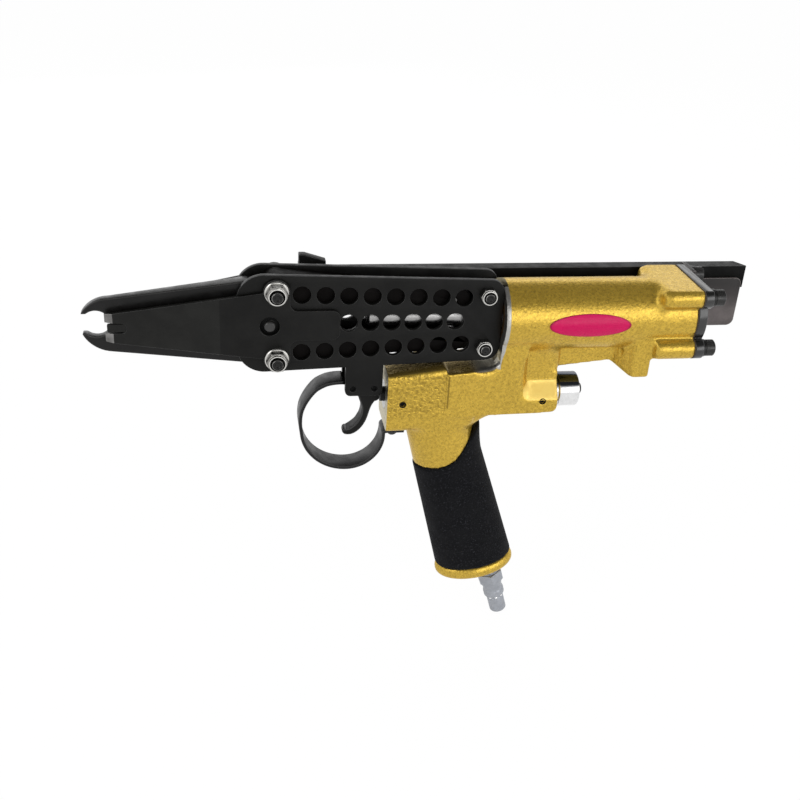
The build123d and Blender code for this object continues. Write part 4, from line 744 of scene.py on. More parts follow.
@dataclass(frozen=True)
class LabelFoil(Finish):
    """Glossy printed foil that shows a little of the paint's texture under it."""

    colour: Colour
    rim: Colour
    centre_mm: Triple
    half_mm: Pair
    rim_span: Pair = (0.86, 0.97)
    ink_mm: float = 5.0
    ink_share: float = 0.88
    dent_mm: float = 1.1
    dent_depth_mm: float = 0.05
    specular: float = 0.22

    def paint(self, tree: ShaderTree) -> None:
        """Print the oval with a fine darker rim."""
        place = tree.split(tree.mapped("TEXTURE", Location=part_point(*self.centre_mm)))
        across, up = (tree.math("DIVIDE", place[axis], half * MM) for axis, half in zip("XZ", self.half_mm))
        out = tree.math("ADD", tree.math("POWER", across, 2.0), tree.math("POWER", up, 2.0))
        ink = tree.mix(tree.noise(self.ink_mm, 3.0), self.colour, dimmed(self.colour, self.ink_share))
        dents = tree.noise(self.dent_mm)
        tree.set(
            Base_Color=tree.mix(tree.remap(out, *self.rim_span), ink, self.rim),
            Roughness=tree.middle(dents, 0.26, 0.36),
            Specular_IOR_Level=self.specular,
            Normal=tree.bump(dents, self.dent_depth_mm, 0.45),
        )


GOLD_PAINT = HammertonePaint(
    "gold_hammertone_paint",
    colour=(0.69, 0.458, 0.064),
    fleck_and_shade=(0.27, 0.170, 0.019),
    bare=(0.52, 0.51, 0.48),
    machined_x_mm=(57.3, 116.2),
)
BLACKED = SatinSteel("blackened_steel", (0.0080, 0.0079, 0.0074), roughness=0.42, specular=0.15)
BLACKED_NOSE = SatinSteel("blackened_nose", (0.0115, 0.0115, 0.0105), roughness=0.44, specular=0.18)
BLACKED_EDGE = SatinSteel("rubbed_black_edge", (0.026, 0.025, 0.025), roughness=0.36, specular=0.5)
JAW_STEEL = SatinSteel("hardened_jaw_steel", (0.0085, 0.0080, 0.0078), roughness=0.34, specular=0.24)
# Painted shade for the jaw arms between the plates and for the inside of the hook
ARM_SHADE = SatinSteel("arm_steel_painted_shade", (0.0042, 0.0034, 0.0031), roughness=0.5, specular=0.05)
JAW_EDGE = SatinSteel("rubbed_jaw_edge", (0.022, 0.021, 0.020), roughness=0.34, specular=0.4)
GROUND = SatinSteel("ground_steel", (0.20, 0.195, 0.19), roughness=0.36, metallic=0.85, cloud_mm=5.0)
# The bracket's steel gets painted shade towards its top
BROWNED = SatinSteel("browned_steel", (0.140, 0.122, 0.120), roughness=0.40, specular=0.26, shade_z_mm=(-12.0, 8.0))
BROWNED_EDGE = SatinSteel("rubbed_brown_edge", (0.12, 0.10, 0.095), roughness=0.38, specular=0.5)
CAP_BLACK = SatinSteel("glossy_black_enamel", (0.006, 0.006, 0.0058), roughness=0.17, specular=0.75)
RAIL_BLACK = SatinSteel("blackened_rail", (0.0030, 0.0030, 0.0028), roughness=0.40, specular=0.06)
RAIL_EDGE = SatinSteel("rubbed_rail_edge", (0.030, 0.028, 0.027), roughness=0.36, specular=0.4)
NICKEL = PlatedMetal("nickel_plate", (0.66, 0.65, 0.62), roughness=0.22)
# Painted shade: the hex flats of the nuts are a darker copy of the nickel
NUT_FLATS_SHADE = PlatedMetal("nut_flats_painted_shade", (0.22, 0.215, 0.205), roughness=0.30)
SLEEVE = PlatedMetal("plated_sleeve", (0.46, 0.46, 0.45), roughness=0.30)
GUARD_STEEL = SatinSteel("blackened_strap", (0.0120, 0.0120, 0.0125), roughness=0.38, specular=0.24)
BOLT_BLACK = SatinSteel("oiled_bolt_steel", (0.0085, 0.0083, 0.0080), roughness=0.32, specular=0.28, grain_mm=0.2)
KNURL_BLACK = SatinSteel("knurled_bolt_steel", (0.035, 0.034, 0.033), roughness=0.32, specular=0.5, grain_mm=0.2)
BOLT_RIM = SatinSteel("rubbed_bolt_rim", (0.30, 0.295, 0.285), roughness=0.34, metallic=0.7, grain_mm=0.2)
# Painted shade: near-black that stands in for the shadow in holes and recesses
HOLE_SHADE = SatinSteel("painted_hole_shade", (0.004, 0.004, 0.004), roughness=0.6, specular=0.1)
POLISHED = PlatedMetal("polished_rod", (0.36, 0.355, 0.35), roughness=0.34, axis=Axis.X, pitch_mm=0.3)
TURNED_ALUMINIUM = PlatedMetal("turned_aluminium", (0.80, 0.80, 0.79), roughness=0.16, axis=Axis.X, pitch_mm=0.35)
# The valve cap's top is painted darker, as painted shade and reflection
CAP_ALUMINIUM = PlatedMetal(
    "turned_valve_cap", (0.80, 0.80, 0.80), roughness=0.16, axis=Axis.X, pitch_mm=0.35, top_shade_z_mm=(-40.9, -39.3)
)
PLUG_ZINC = PlatedMetal("zinc_plated_plug", (0.42, 0.44, 0.48), roughness=0.48, metallic=0.55, mark_depth_mm=0.01)
PLUG_BALL = PlatedMetal("polished_ball", (0.92, 0.92, 0.92), roughness=0.08)
BRONZE = PlatedMetal("bearing_bronze", (0.45, 0.27, 0.11), roughness=0.35, axis=Axis.X)
SPRING = PlatedMetal("spring_wire", (0.42, 0.42, 0.43), roughness=0.3)
RUBBER_GRIP = GripRubber("grip_rubber", (0.0028, 0.0030, 0.0042), (0.050, 0.0505, 0.060))
RUBBER_SEAL = PlainRubber("seal_rubber_black", (0.012, 0.012, 0.012))
GASKET = GasketBoard("gasket_board", (0.10, 0.075, 0.05))
LABEL = LabelFoil(
    "magenta_foil",
    colour=(0.82, 0.0045, 0.130),
    rim=(0.45, 0.004, 0.07),
    centre_mm=(160.8, 0.0, 0.6),
    half_mm=(22.0, 6.3),
)


# Mesh work shared by the pieces


def plain_object(name: str, data: bpy.types.ID) -> Object:
    """Put a mesh, curve, lamp or camera in the scene as an object at the origin.

    Args:
        name: The object's name.
        data: What it holds.

    Returns:
        The object.
    """
    obj = bpy.data.objects.new(name, data)
    bpy.context.scene.collection.objects.link(obj)
    return obj


@contextmanager
def reshaping(mesh: Mesh) -> Iterator[bmesh.types.BMesh]:
    """Open a mesh for editing, and write it back at the end.

    Args:
        mesh: The mesh.

    Yields:
        The form to edit.
    """
    form = bmesh.new()
    form.from_mesh(mesh)
    yield form
    form.to_mesh(mesh)
    form.free()


def cut_across(form: bmesh.types.BMesh, x_m: float) -> None:
    """Cut the faces of a form along a plane across X."""
    everything = form.verts[:] + form.edges[:] + form.faces[:]
    bmesh.ops.bisect_plane(form, geom=everything, plane_co=(x_m, 0, 0), plane_no=(1, 0, 0))


def drop_normals(mesh: Mesh) -> None:
    """Forget the normals that a mesh brought with it."""
    for extra in [a.name for a in mesh.attributes if a.name == "custom_normal"]:
        mesh.attributes.remove(mesh.attributes[extra])


def wear(mesh: Mesh, *finishes: Finish) -> None:
    """Add finishes to a mesh."""
    for finish in finishes:
        mesh.materials.append(finish.material())


def node_copy(node: str, name: str, flat_deg: float = 0.6) -> Object:
    """Copy a CAD node with its loose triangles merged into whole faces.

    Args:
        node: The CAD node.
        name: The copy's name.
        flat_deg: Faces that turn less than this are joined.

    Returns:
        The copy.
    """
    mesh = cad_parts[node].data.copy()
    mesh.name = name
    mesh.materials.clear()
    drop_normals(mesh)
    while mesh.uv_layers:
        mesh.uv_layers.remove(mesh.uv_layers[0])
    with reshaping(mesh) as form:
        bmesh.ops.remove_doubles(form, verts=form.verts, dist=MERGE_M)
        bmesh.ops.dissolve_limit(
            form, angle_limit=math.radians(flat_deg), use_dissolve_boundaries=False, verts=form.verts, edges=form.edges
        )
    return plain_object(name, mesh)


def settle(obj: Object) -> None:
    """Turn an object's modifiers into its plain mesh.

    Args:
        obj: The object, which is left with no modifiers.
    """
    graph = bpy.context.evaluated_depsgraph_get()
    mesh = bpy.data.meshes.new_from_object(obj.evaluated_get(graph), preserve_all_data_layers=True, depsgraph=graph)
    old = obj.data
    obj.modifiers.clear()
    obj.data = mesh
    mesh.name = obj.name
    bpy.data.meshes.remove(old)


def even_skin(obj: Object, voxel_mm: float) -> None:
    """Mesh an object afresh in small even faces."""
    remesh = obj.modifiers.new("even_skin", "REMESH")
    remesh.mode = "VOXEL"
    remesh.voxel_size = voxel_mm * MM
    settle(obj)


def fewer_faces(obj: Object, share: float) -> None:
    """Keep a share of an object's faces."""
    obj.modifiers.new("fewer_faces", "DECIMATE").ratio = share
    settle(obj)


def smooth_by_angle(mesh: Mesh, angle_deg: float) -> None:
    """Shade a mesh smooth, apart from edges sharper than an angle."""
    mesh.polygons.foreach_set("use_smooth", np.ones(len(mesh.polygons), dtype=bool))
    mesh.set_sharp_from_angle(angle=math.radians(angle_deg))


def vertex_places(mesh: Mesh) -> np.ndarray:
    """The vertices of a mesh as rows of millimetres in the drawing."""
    co = np.empty(len(mesh.vertices) * 3, dtype=np.float64)
    mesh.vertices.foreach_get("co", co)
    return co.reshape(-1, 3) / MM + np.array(GRIP_CENTRE_MM)


def put_vertices(mesh: Mesh, places: np.ndarray) -> None:
    """Set a mesh's vertices from rows of millimetres in the drawing."""
    mesh.vertices.foreach_set("co", ((places - np.array(GRIP_CENTRE_MM)) * MM).astype(np.float32).ravel())
    mesh.update()


def relax(places: np.ndarray, edges: np.ndarray, rounds: int, free: np.ndarray) -> np.ndarray:
    """Round a mesh by drawing each vertex to the middle of its neighbours.

    Args:
        places: The vertices.
        edges: Pairs of vertex numbers.
        rounds: How many times.
        free: How far each vertex follows, from 0 to 1.

    Returns:
        The moved vertices.
    """
    touched = edges[(free[edges] > 0).any(axis=1)]
    used, pairs = np.unique(touched, return_inverse=True)
    a, b = pairs.reshape(-1, 2).T
    count = len(used)
    part = places[used]
    follow = 0.5 * free[used][:, None]
    degree = np.maximum(np.bincount(a, minlength=count) + np.bincount(b, minlength=count), 1)[:, None]
    for _ in range(rounds):
        total = np.stack(
            [np.bincount(a, part[b, k], count) + np.bincount(b, part[a, k], count) for k in range(3)], axis=1
        )
        part = part + follow * (total / degree - part)
    moved = places.copy()
    moved[used] = part
    return moved


def edge_pairs(mesh: Mesh) -> np.ndarray:
    """The edges of a mesh as pairs of vertex numbers."""
    pairs = np.empty(len(mesh.edges) * 2, dtype=np.int64)
    mesh.edges.foreach_get("vertices", pairs)
    return pairs.reshape(-1, 2)


def join_meshes(name: str, objects: Sequence[Object]) -> Object:
    """Join plain objects that share one finish into one.

    Args:
        name: Name of the joined object.
        objects: The objects, which are used up.

    Returns:
        The joined object.
    """
    form = bmesh.new()
    materials = list(objects[0].data.materials)
    for obj in objects:
        form.from_mesh(obj.data)
    mesh = bpy.data.meshes.new(name)
    form.to_mesh(mesh)
    form.free()
    for material in materials:
        mesh.materials.append(material)
    for obj in objects:
        old = obj.data
        bpy.data.objects.remove(obj)
        bpy.data.meshes.remove(old)
    return plain_object(name, mesh)


def mounted(obj: Object, body: Body, nodes: Iterable[str] = ()) -> Object:
    """Set a finished piece on its body.

    Args:
        obj: The piece.
        body: The body that it moves with.
        nodes: CAD nodes that it stands for.

    Returns:
        The piece.
    """
    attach(obj, body.value)
    if nodes:
        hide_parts(*nodes)
    LOG.info("%s: %d faces on %s", obj.name, len(obj.data.polygons), body.value)
    return obj


def dress_node(node: str, finish: Finish) -> None:
    """Give a CAD node that stays as it is a finish."""
    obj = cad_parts[node]
    if not obj.material_slots:
        obj.data.materials.append(finish.material())
    for place in obj.material_slots:
        place.material = finish.material()
    LOG.info("%s: CAD form in %s", node, finish.name)


CUT_SMOOTH_DEG = 35.0


@dataclass
class CutPiece:
    """A stamped, milled or turned piece: its CAD form with broken edges."""

    node: str
    body: Body
    slot: Slot
    face: Finish
    edge: Finish
    width_mm: float = 0.3
    limit_deg: float = 30.0
    segments: int = 2

    def build(self) -> Object:
        """Break the edges and dress the piece.

        Returns:
            The finished piece.
        """
        obj = node_copy(self.node, self.node + "_dressed")
        wear(obj.data, self.face, self.edge)
        bevel = obj.modifiers.new("broken_edges", "BEVEL")
        bevel.width = self.width_mm * MM
        bevel.segments = self.segments
        bevel.limit_method = "ANGLE"
        bevel.angle_limit = math.radians(self.limit_deg)
        bevel.use_clamp_overlap = False
        bevel.material = 1
        smooth_by_angle(obj.data, self.limit_deg)
        obj.modifiers.new("flat_faces", "WEIGHTED_NORMAL").keep_sharp = True
        settle(obj)
        self.keep_size(obj.data)
        smooth_by_angle(obj.data, CUT_SMOOTH_DEG)
        return mounted(obj, self.body, [self.node])

    def keep_size(self, mesh: Mesh) -> None:
        """Hold the piece's mesh inside the box of its CAD form."""
        limits = vertex_places(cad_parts[self.node].data)
        put_vertices(mesh, np.clip(vertex_places(mesh), limits.min(axis=0), limits.max(axis=0)))


@dataclass(frozen=True)
class Ring:
    """One ring of a turned form: its place along the axis, its radius, its flats and the finish after it."""

    along: float
    radius: float
    flats: float = 0.0
    finish: int = 0


Spot = tuple[Triple, Triple]


@dataclass
class TurnedForm:
    """A form turned about an axis from rows of ring values, with eased corners, six sided where there are flats."""

    rows: Rows
    hollow: bool = False
    ease_mm: float = 0.12
    sides: int = 96
    smooth_deg: float = 33.0

    def eased(self) -> list[Ring]:
        """The rings with every corner rounded a little.

        Returns:
            More rings, in the same order.
        """
        out: list[Ring] = []
        rings = [Ring(*row) for row in self.rows]
        count = len(rings)
        for i, ring in enumerate(rings):
            if not self.hollow and i in (0, count - 1):
                out.append(ring)
                continue
            before, after = rings[i - 1], rings[(i + 1) % count]
            corner = np.array((ring.along, ring.radius))
            ends = []
            for other in (before, after):
                leg = np.array((other.along, other.radius)) - corner
                length = max(float(np.hypot(*leg)), TINY)
                ends.append(corner + leg * min(self.ease_mm / length, 0.4))
            middle = 0.25 * ends[0] + 0.5 * corner + 0.25 * ends[1]
            for at in (ends[0], middle, ends[1]):
                out.append(Ring(float(at[0]), float(at[1]), ring.flats, ring.finish))
        return out

    def build(self, name: str, spots: Sequence[Spot], finishes: Sequence[Finish]) -> Object:
        """Turn the form at each spot.

        Args:
            name: Name of the object.
            spots: Start and direction of the axis of each copy, in the drawing's millimetres.
            finishes: The finishes that the rings choose from.

        Returns:
            One object with all the copies.
        """
        rings = self.eased()
        angle = np.arange(self.sides) * math.tau / self.sides
        sixth = math.pi / 3
        to_flat = 0.5 / np.cos((angle + sixth / 2) % sixth - sixth / 2)
        form = bmesh.new()
        for start, axis in spots:
            ahead = Vector(axis).normalized()
            up = Vector((0, 0, 1)) if abs(ahead.z) < 0.99 else Vector((1, 0, 0))
            up = (up - ahead * up.dot(ahead)).normalized()
            side = ahead.cross(up)
            loops = []
            for ring in rings:
                radius = np.full(self.sides, ring.radius)
                if ring.flats > 0:
                    radius = np.minimum(radius, ring.flats * to_flat)
                middle = Vector(start) + ahead * ring.along
                spokes = [(up * math.cos(a) + side * math.sin(a)) * float(r) for r, a in zip(radius, angle)]
                loops.append([form.verts.new(part_point(*(middle + spoke))) for spoke in spokes])
            for i in range(len(loops) if self.hollow else len(loops) - 1):
                low, high = loops[i], loops[(i + 1) % len(loops)]
                for j in range(self.sides):
                    k = (j + 1) % self.sides
                    form.faces.new((low[j], low[k], high[k], high[j])).material_index = rings[i].finish
        bmesh.ops.remove_doubles(form, verts=form.verts, dist=TINY)
        bmesh.ops.recalc_face_normals(form, faces=form.faces)
        mesh = bpy.data.meshes.new(name)
        form.to_mesh(mesh)
        form.free()
        wear(mesh, *finishes)
        smooth_by_angle(mesh, self.smooth_deg)
        return plain_object(name, mesh)

    def stand_for(self, node: str, slot: Slot, spots: Sequence[Spot], *finishes: Finish) -> None:
        """Turn the form at each spot in place of a CAD node that is fixed to the housing."""
        mounted(self.build(node + "_dressed", spots, finishes), Body.HOUSING, [node])


Outline = list[Pair]


def arc(centre: Pair, radius: float, start_deg: float, end_deg: float, steps: int = 14) -> Outline:
    """Points along an arc, from one angle to another."""
    angles = np.radians(np.linspace(start_deg, end_deg, steps + 1))
    return [(centre[0] + radius * math.cos(a), centre[1] + radius * math.sin(a)) for a in angles]


def rounded(corners: Sequence[Triple]) -> Outline:
    """A polygon with rounded corners.

    Args:
        corners: X, Z and radius of each corner in turn.

    Returns:
        The outline.
    """
    out: Outline = []
    count = len(corners)
    for i, (x, z, radius) in enumerate(corners):
        corner = Vector((x, z))
        to_last = (Vector(corners[i - 1][:2]) - corner).normalized()
        to_next = (Vector(corners[(i + 1) % count][:2]) - corner).normalized()
        if radius <= 0:
            out.append((x, z))
            continue
        half = to_last.angle(to_next) / 2
        middle = corner + (to_last + to_next).normalized() * (radius / math.sin(half))
        first = corner + to_last * (radius / math.tan(half)) - middle
        last = corner + to_next * (radius / math.tan(half)) - middle
        start = math.degrees(math.atan2(first.y, first.x))
        turn = (math.degrees(math.atan2(last.y, last.x)) - start + 180.0) % 360.0 - 180.0
        out += arc((middle.x, middle.y), radius, start, start + turn)
    return out


PLATE_FINISHES = (BLACKED, BLACKED_EDGE, GROUND, BLACKED_NOSE)
FACE, EDGE, BARE, NOSE = range(len(PLATE_FINISHES))


@dataclass
class SheetPlate:
    """A stamped plate: an outline with holes, thickened, its edges broken."""

    name: str
    side: int
    outline: Outline
    holes: list[Triple]
    inner_y_mm: float
    thickness_mm: float
    edge_mm: float = 0.28
    cuts_x_mm: tuple[float, ...] = ()
    hole_steps: int = 56
    smooth_deg: float = 40.0
    edge_facing: Pair = (0.25, 0.93)

    def build(self) -> Object:
        """Fill the outline and break its edges.

        Returns:
            The plate, with its face, edge and ground finishes.
        """
        curve = bpy.data.curves.new(self.name, "CURVE")
        curve.dimensions = "2D"
        curve.fill_mode = "BOTH"
        curve.extrude = (self.thickness_mm / 2 - self.edge_mm) * MM
        curve.bevel_depth = self.edge_mm * MM
        curve.bevel_resolution = 2
        curve.offset = -self.edge_mm * MM
        loops = [self.outline] + [arc((x, z), r, 0.0, 360.0, self.hole_steps)[:-1] for x, z, r in self.holes]
        for loop in loops:
            spline = curve.splines.new("POLY")
            spline.points.add(len(loop) - 1)
            for point, (x, z) in zip(spline.points, loop):
                point.co = (x * MM, -self.side * z * MM, 0.0, 1.0)
            spline.use_cyclic_u = True
        pattern = plain_object(self.name, curve)
        graph = bpy.context.evaluated_depsgraph_get()
        mesh = bpy.data.meshes.new_from_object(pattern.evaluated_get(graph), depsgraph=graph)
        bpy.data.objects.remove(pattern)
        bpy.data.curves.remove(curve)
        with reshaping(mesh) as form:
            bmesh.ops.remove_doubles(form, verts=form.verts, dist=MERGE_M)
            for x in self.cuts_x_mm:
                cut_across(form, x * MM)
            bmesh.ops.recalc_face_normals(form, faces=form.faces)
        local = np.empty(len(mesh.vertices) * 3)
        mesh.vertices.foreach_get("co", local)
        local = local.reshape(-1, 3) / MM
        out = local[:, 2] + self.thickness_mm / 2
        put_vertices(mesh, self.stand(local[:, 0], -self.side * local[:, 1], out))
        mesh.name = self.name
        wear(mesh, *PLATE_FINISHES)
        low, high = self.edge_facing
        for face in mesh.polygons:
            face.material_index = EDGE if low < abs(face.normal.y) < high else FACE
        smooth_by_angle(mesh, self.smooth_deg)
        return plain_object(self.name, mesh)

    def stand(self, x: np.ndarray, z: np.ndarray, out: np.ndarray) -> np.ndarray:
        """Stand the flat plate up, from places along it, heights and depths from its inner face outwards."""
        return np.stack((x, self.side * (self.inner_y_mm + out), z), axis=1)


# Geometry node trees for what repeats


class GrownShape(NodeTree):
    """A geometry node tree with named inputs, turned into a plain mesh each time that it is used."""

    smooth_deg: float = 40.0

    def __init__(self, name: str) -> None:
        """Start an empty tree.

        Args:
            name: The tree's name.
        """
        super().__init__(bpy.data.node_groups.new(name, "GeometryNodeTree"))
        self.tree.interface.new_socket("Geometry", in_out="OUTPUT", socket_type="NodeSocketGeometry")
        self.inputs = self.add("NodeGroupInput")
        self.output = self.add("NodeGroupOutput")

    def ask(self, name: str, kind: str = "Float") -> Socket:
        """Add a named input, and return its socket inside the tree."""
        self.tree.interface.new_socket(name, in_out="INPUT", socket_type="NodeSocket" + kind)
        return self.inputs.outputs[name]

    def step(self, kind: str, links: dict[str, object], **settings: object) -> Socket:
        """Add a node.

        Args:
            kind: Its type.
            links: Sockets or values for its inputs by name.
            settings: Its properties.

        Returns:
            Its first output.
        """
        node = self.add(kind, **settings)
        for key, value in links.items():
            self.fill(node.inputs[key], value)
        return node.outputs[0]

    def close(self, shape: Socket) -> None:
        """End the tree: set the shape down, make it real and give it its material.

        Args:
            shape: The geometry.
        """
        at, turn, material = self.ask("At", "Vector"), self.ask("Turn", "Rotation"), self.ask("Material", "Material")
        put = self.step("GeometryNodeTransform", {"Geometry": shape, "Translation": at, "Rotation": turn})
        real = self.step("GeometryNodeRealizeInstances", {"Geometry": put})
        made = self.step("GeometryNodeSetMaterial", {"Geometry": real, "Material": material})
        self.link(made, self.output.inputs["Geometry"])

    def grow(self, name: str, **values: object) -> Object:
        """Make one plain mesh object from the tree.

        Args:
            name: The object's name.
            values: The tree's inputs by name.

        Returns:
            The object.
        """
        obj = plain_object(name, bpy.data.meshes.new(name))
        modifier = obj.modifiers.new("grown", "NODES")
        modifier.node_group = self.tree
        for item in self.tree.interface.items_tree:
            if item.in_out == "INPUT" and item.name in values:
                modifier[item.identifier] = values[item.name]
        settle(obj)
        smooth_by_angle(obj.data, self.smooth_deg)
        return obj


class ThreadRidge(GrownShape):
    """The ridge of a screw thread: a small profile swept along a spiral."""

    turn_steps: int = 28
    profile_steps: int = 5

    def __init__(self) -> None:
        """Build the tree."""
        super().__init__("thread_ridge")
        radius, length, turns, ridge = (self.ask(name) for name in ("Radius", "Length", "Turns", "Ridge"))
        ends = {"Start Radius": radius, "End Radius": radius, "Height": length}
        spiral = self.step("GeometryNodeCurveSpiral", {"Resolution": self.turn_steps, "Rotations": turns, **ends})
        profile = self.step("GeometryNodeCurvePrimitiveCircle", {"Resolution": self.profile_steps, "Radius": ridge})
        sweep = {"Curve": spiral, "Profile Curve": profile, "Fill Caps": True}
        self.close(self.step("GeometryNodeCurveToMesh", sweep))


class RingOfRibs(GrownShape):
    """Equal ribs set round an axis."""

    def __init__(self) -> None:
        """Build the tree."""
        super().__init__("ring_of_ribs")
        count, radius, size = self.ask("Count", "Int"), self.ask("Radius"), self.ask("Size", "Vector")
        ring = self.step("GeometryNodeMeshCircle", {"Vertices": count, "Radius": radius}, fill_type="NONE")
        rib = self.step("GeometryNodeMeshCube", {"Size": size})
        out = {"Vector": self.step("GeometryNodeInputPosition", {})}
        turn = self.step("FunctionNodeAlignRotationToVector", out, axis="X", pivot_axis="Z")
        self.close(self.step("GeometryNodeInstanceOnPoints", {"Points": ring, "Instance": rib, "Rotation": turn}))


class RingOfBalls(GrownShape):
    """Equal balls set round an axis."""

    ball_steps: int = 3

    def __init__(self) -> None:
        """Build the tree."""
        super().__init__("ring_of_balls")
        count, radius, ball = self.ask("Count", "Int"), self.ask("Radius"), self.ask("Ball")
        ring = self.step("GeometryNodeMeshCircle", {"Vertices": count, "Radius": radius}, fill_type="NONE")
        sphere = self.step("GeometryNodeMeshIcoSphere", {"Radius": ball, "Subdivisions": self.ball_steps})
        self.close(self.step("GeometryNodeInstanceOnPoints", {"Points": ring, "Instance": sphere}))


# Sub-assemblies


@dataclass
class Casting:
    """The cast housing, with its edges run round as they come from the mould."""

    voxel_mm: float = 0.70
    edge_rounds: int = 7
    keep_share: float = 0.46
    smooth_deg: float = 50.0
    machined_x_mm: Triple = (57.3, 116.2, 219.5)
    held_mm: float = 0.6
    held_share: float = 0.35
    flat_mm: float = 0.25
    bore_radius_mm: float = 15.5
    bore_x_mm: Pair = (128.0, 219.5)
    bore_wall_mm: float = 0.5
    bore_end_mm: float = 0.2
    bore_play_mm: float = 0.03
    valve_bore_radius_mm: float = 8.0
    valve_bore_x_mm: Pair = (57.3, 150.5)
    valve_axis_z_mm: float = -45.4
    soft_zones_mm: Rows = (
        (190.0, 203.0, -5.0, 26.0, -6.0, 22.0, 70, 2.5),
        (125.5, 136.0, 8.0, 18.0, -45.0, -19.0, 110, 2.5),
        (132.0, 151.0, 2.0, 20.0, -31.0, -4.0, 500, 5.0),
        (103.0, 120.0, 9.3, 18.0, -31.0, -15.0, 70, 2.5),
        (97.0, 124.0, -5.0, 16.0, -70.0, -54.2, 70, 2.5),
        (68.0, 100.0, 7.0, 18.0, -69.0, -55.0, 70, 2.5),
        (195.0, 201.5, 14.0, 26.0, -23.0, -8.0, 25, 2.5),
    )
    belly_x_mm: Pair = (131.0, 187.0)
    belly_fade_mm: Pair = (3.0, 4.0)
    belly_y_mm: Pair = (5.3, 10.5)
    belly_z_mm: Pair = (-21.0, -12.0)
    belly_deep_mm: float = 3.5
    barrel_radius_mm: float = 19.0
    ledge_mm: tuple[float, float, float, float] = (9.0, 14.8, -36.2, -43.3)
    ledge_x_mm: float = 131.0
    ledge_near_mm: float = 2.0
    ledge_edge_mm: float = 0.4
    ledge_clear_mm: float = 0.6
    ledge_lift_mm: float = 0.9
    handle_half_mm: Pair = (19.0, 14.5)
    handle_lean: float = 0.2975
    throat_x_mm: Pair = (94.0, 102.0)
    throat_z_mm: Pair = (-65.0, -55.0)
    throat_reach_mm: Pair = (3.0, 1.0)
    throat_flare: float = 0.8

    def build(self) -> None:
        """Remesh the CAD form, round it and dress it."""
        obj = node_copy("main_body", "casting")
        even_skin(obj, self.voxel_mm)
        self.round_off(obj.data)
        fewer_faces(obj, self.keep_share)
        smooth_by_angle(obj.data, self.smooth_deg)
        wear(obj.data, GOLD_PAINT)
        mounted(obj, Body.HOUSING, ["main_body"])

    def round_off(self, mesh: Mesh) -> None:
        """Round the edges, more in the hollows, and true the machined faces and bores.

        Args:
            mesh: The evenly meshed casting.
        """
        places = vertex_places(mesh)
        pairs = edge_pairs(mesh)
        start = places.copy()
        everywhere = np.ones(len(places))
        for x in self.machined_x_mm:
            everywhere[np.abs(start[:, 0] - x) < self.held_mm] = self.held_share
        places = relax(places, pairs, self.edge_rounds, everywhere)
        self.draw_in_throat(places)
        self.clear_belly(places)
        self.tilt_ledge(start, places)
        folded = np.abs(start) * (0, 1, 0) + start * (1, 0, 1)
        for x0, x1, y0, y1, z0, z1, rounds, fade in self.soft_zones_mm:
            low, high = np.array((x0, y0, z0)), np.array((x1, y1, z1))
            inside = np.minimum(folded - low, high - folded).min(axis=1)
            places = relax(places, pairs, int(rounds), np.clip(inside / fade, 0.0, 1.0))
        for x in self.machined_x_mm:
            places[np.abs(start[:, 0] - x) < self.flat_mm, 0] = x
        self.true_bore(start, places, self.bore_x_mm, 0.0, self.bore_radius_mm)
        self.true_bore(start, places, self.valve_bore_x_mm, self.valve_axis_z_mm, self.valve_bore_radius_mm)
        put_vertices(mesh, places)

    def draw_in_throat(self, places: np.ndarray) -> None:
        """Draw the web behind the handle in to the handle's oval, which flares out into the neck.

        Args:
            places: The vertices, which are changed.
        """
        x, y, z = places.T.copy()
        low, high = self.throat_z_mm
        half_depth, half_width = self.handle_half_mm
        centre = GRIP_CENTRE_MM.x + (GRIP_CENTRE_MM.z - z) * self.handle_lean
        flare = 1.0 + self.throat_flare * np.clip((z - low) / (high - low), 0.0, 1.0) ** 2
        reach = np.maximum(np.hypot((x - centre) / half_depth, y / half_width), TINY)
        (front, rear), (below, above) = self.throat_x_mm, self.throat_reach_mm
        near = (z < high + above) & (z > low - below) & (reach > flare)
        share = np.clip((x - front) / (rear - front), 0.0, 1.0) * near
        scale = 1.0 - share * (1.0 - flare / reach)
        places[:, 0] = centre + (x - centre) * scale
        places[:, 1] = y * scale

    def clear_belly(self, places: np.ndarray) -> None:
        """Run the barrel round on to the keel, with no shoulder between them.

        Args:
            places: The vertices, which are changed.
        """
        (front, rear), (front_fade, rear_fade) = self.belly_x_mm, self.belly_fade_mm
        (keel, side), (low, high) = self.belly_y_mm, self.belly_z_mm
        x, y, z = places.T.copy()
        reach = np.maximum(np.hypot(y, z), TINY)
        near = (np.abs(y) > keel) & (np.abs(y) < side) & (z > low) & (z < high)
        near &= (reach > self.barrel_radius_mm) & (reach < self.barrel_radius_mm + self.belly_deep_mm)
        share = near * np.clip((x - front) / front_fade, 0.0, 1.0) * np.clip((rear - x) / rear_fade, 0.0, 1.0)
        scale = 1.0 - share * (1.0 - self.barrel_radius_mm / reach)
        places[:, 1] = y * scale
        places[:, 2] = z * scale

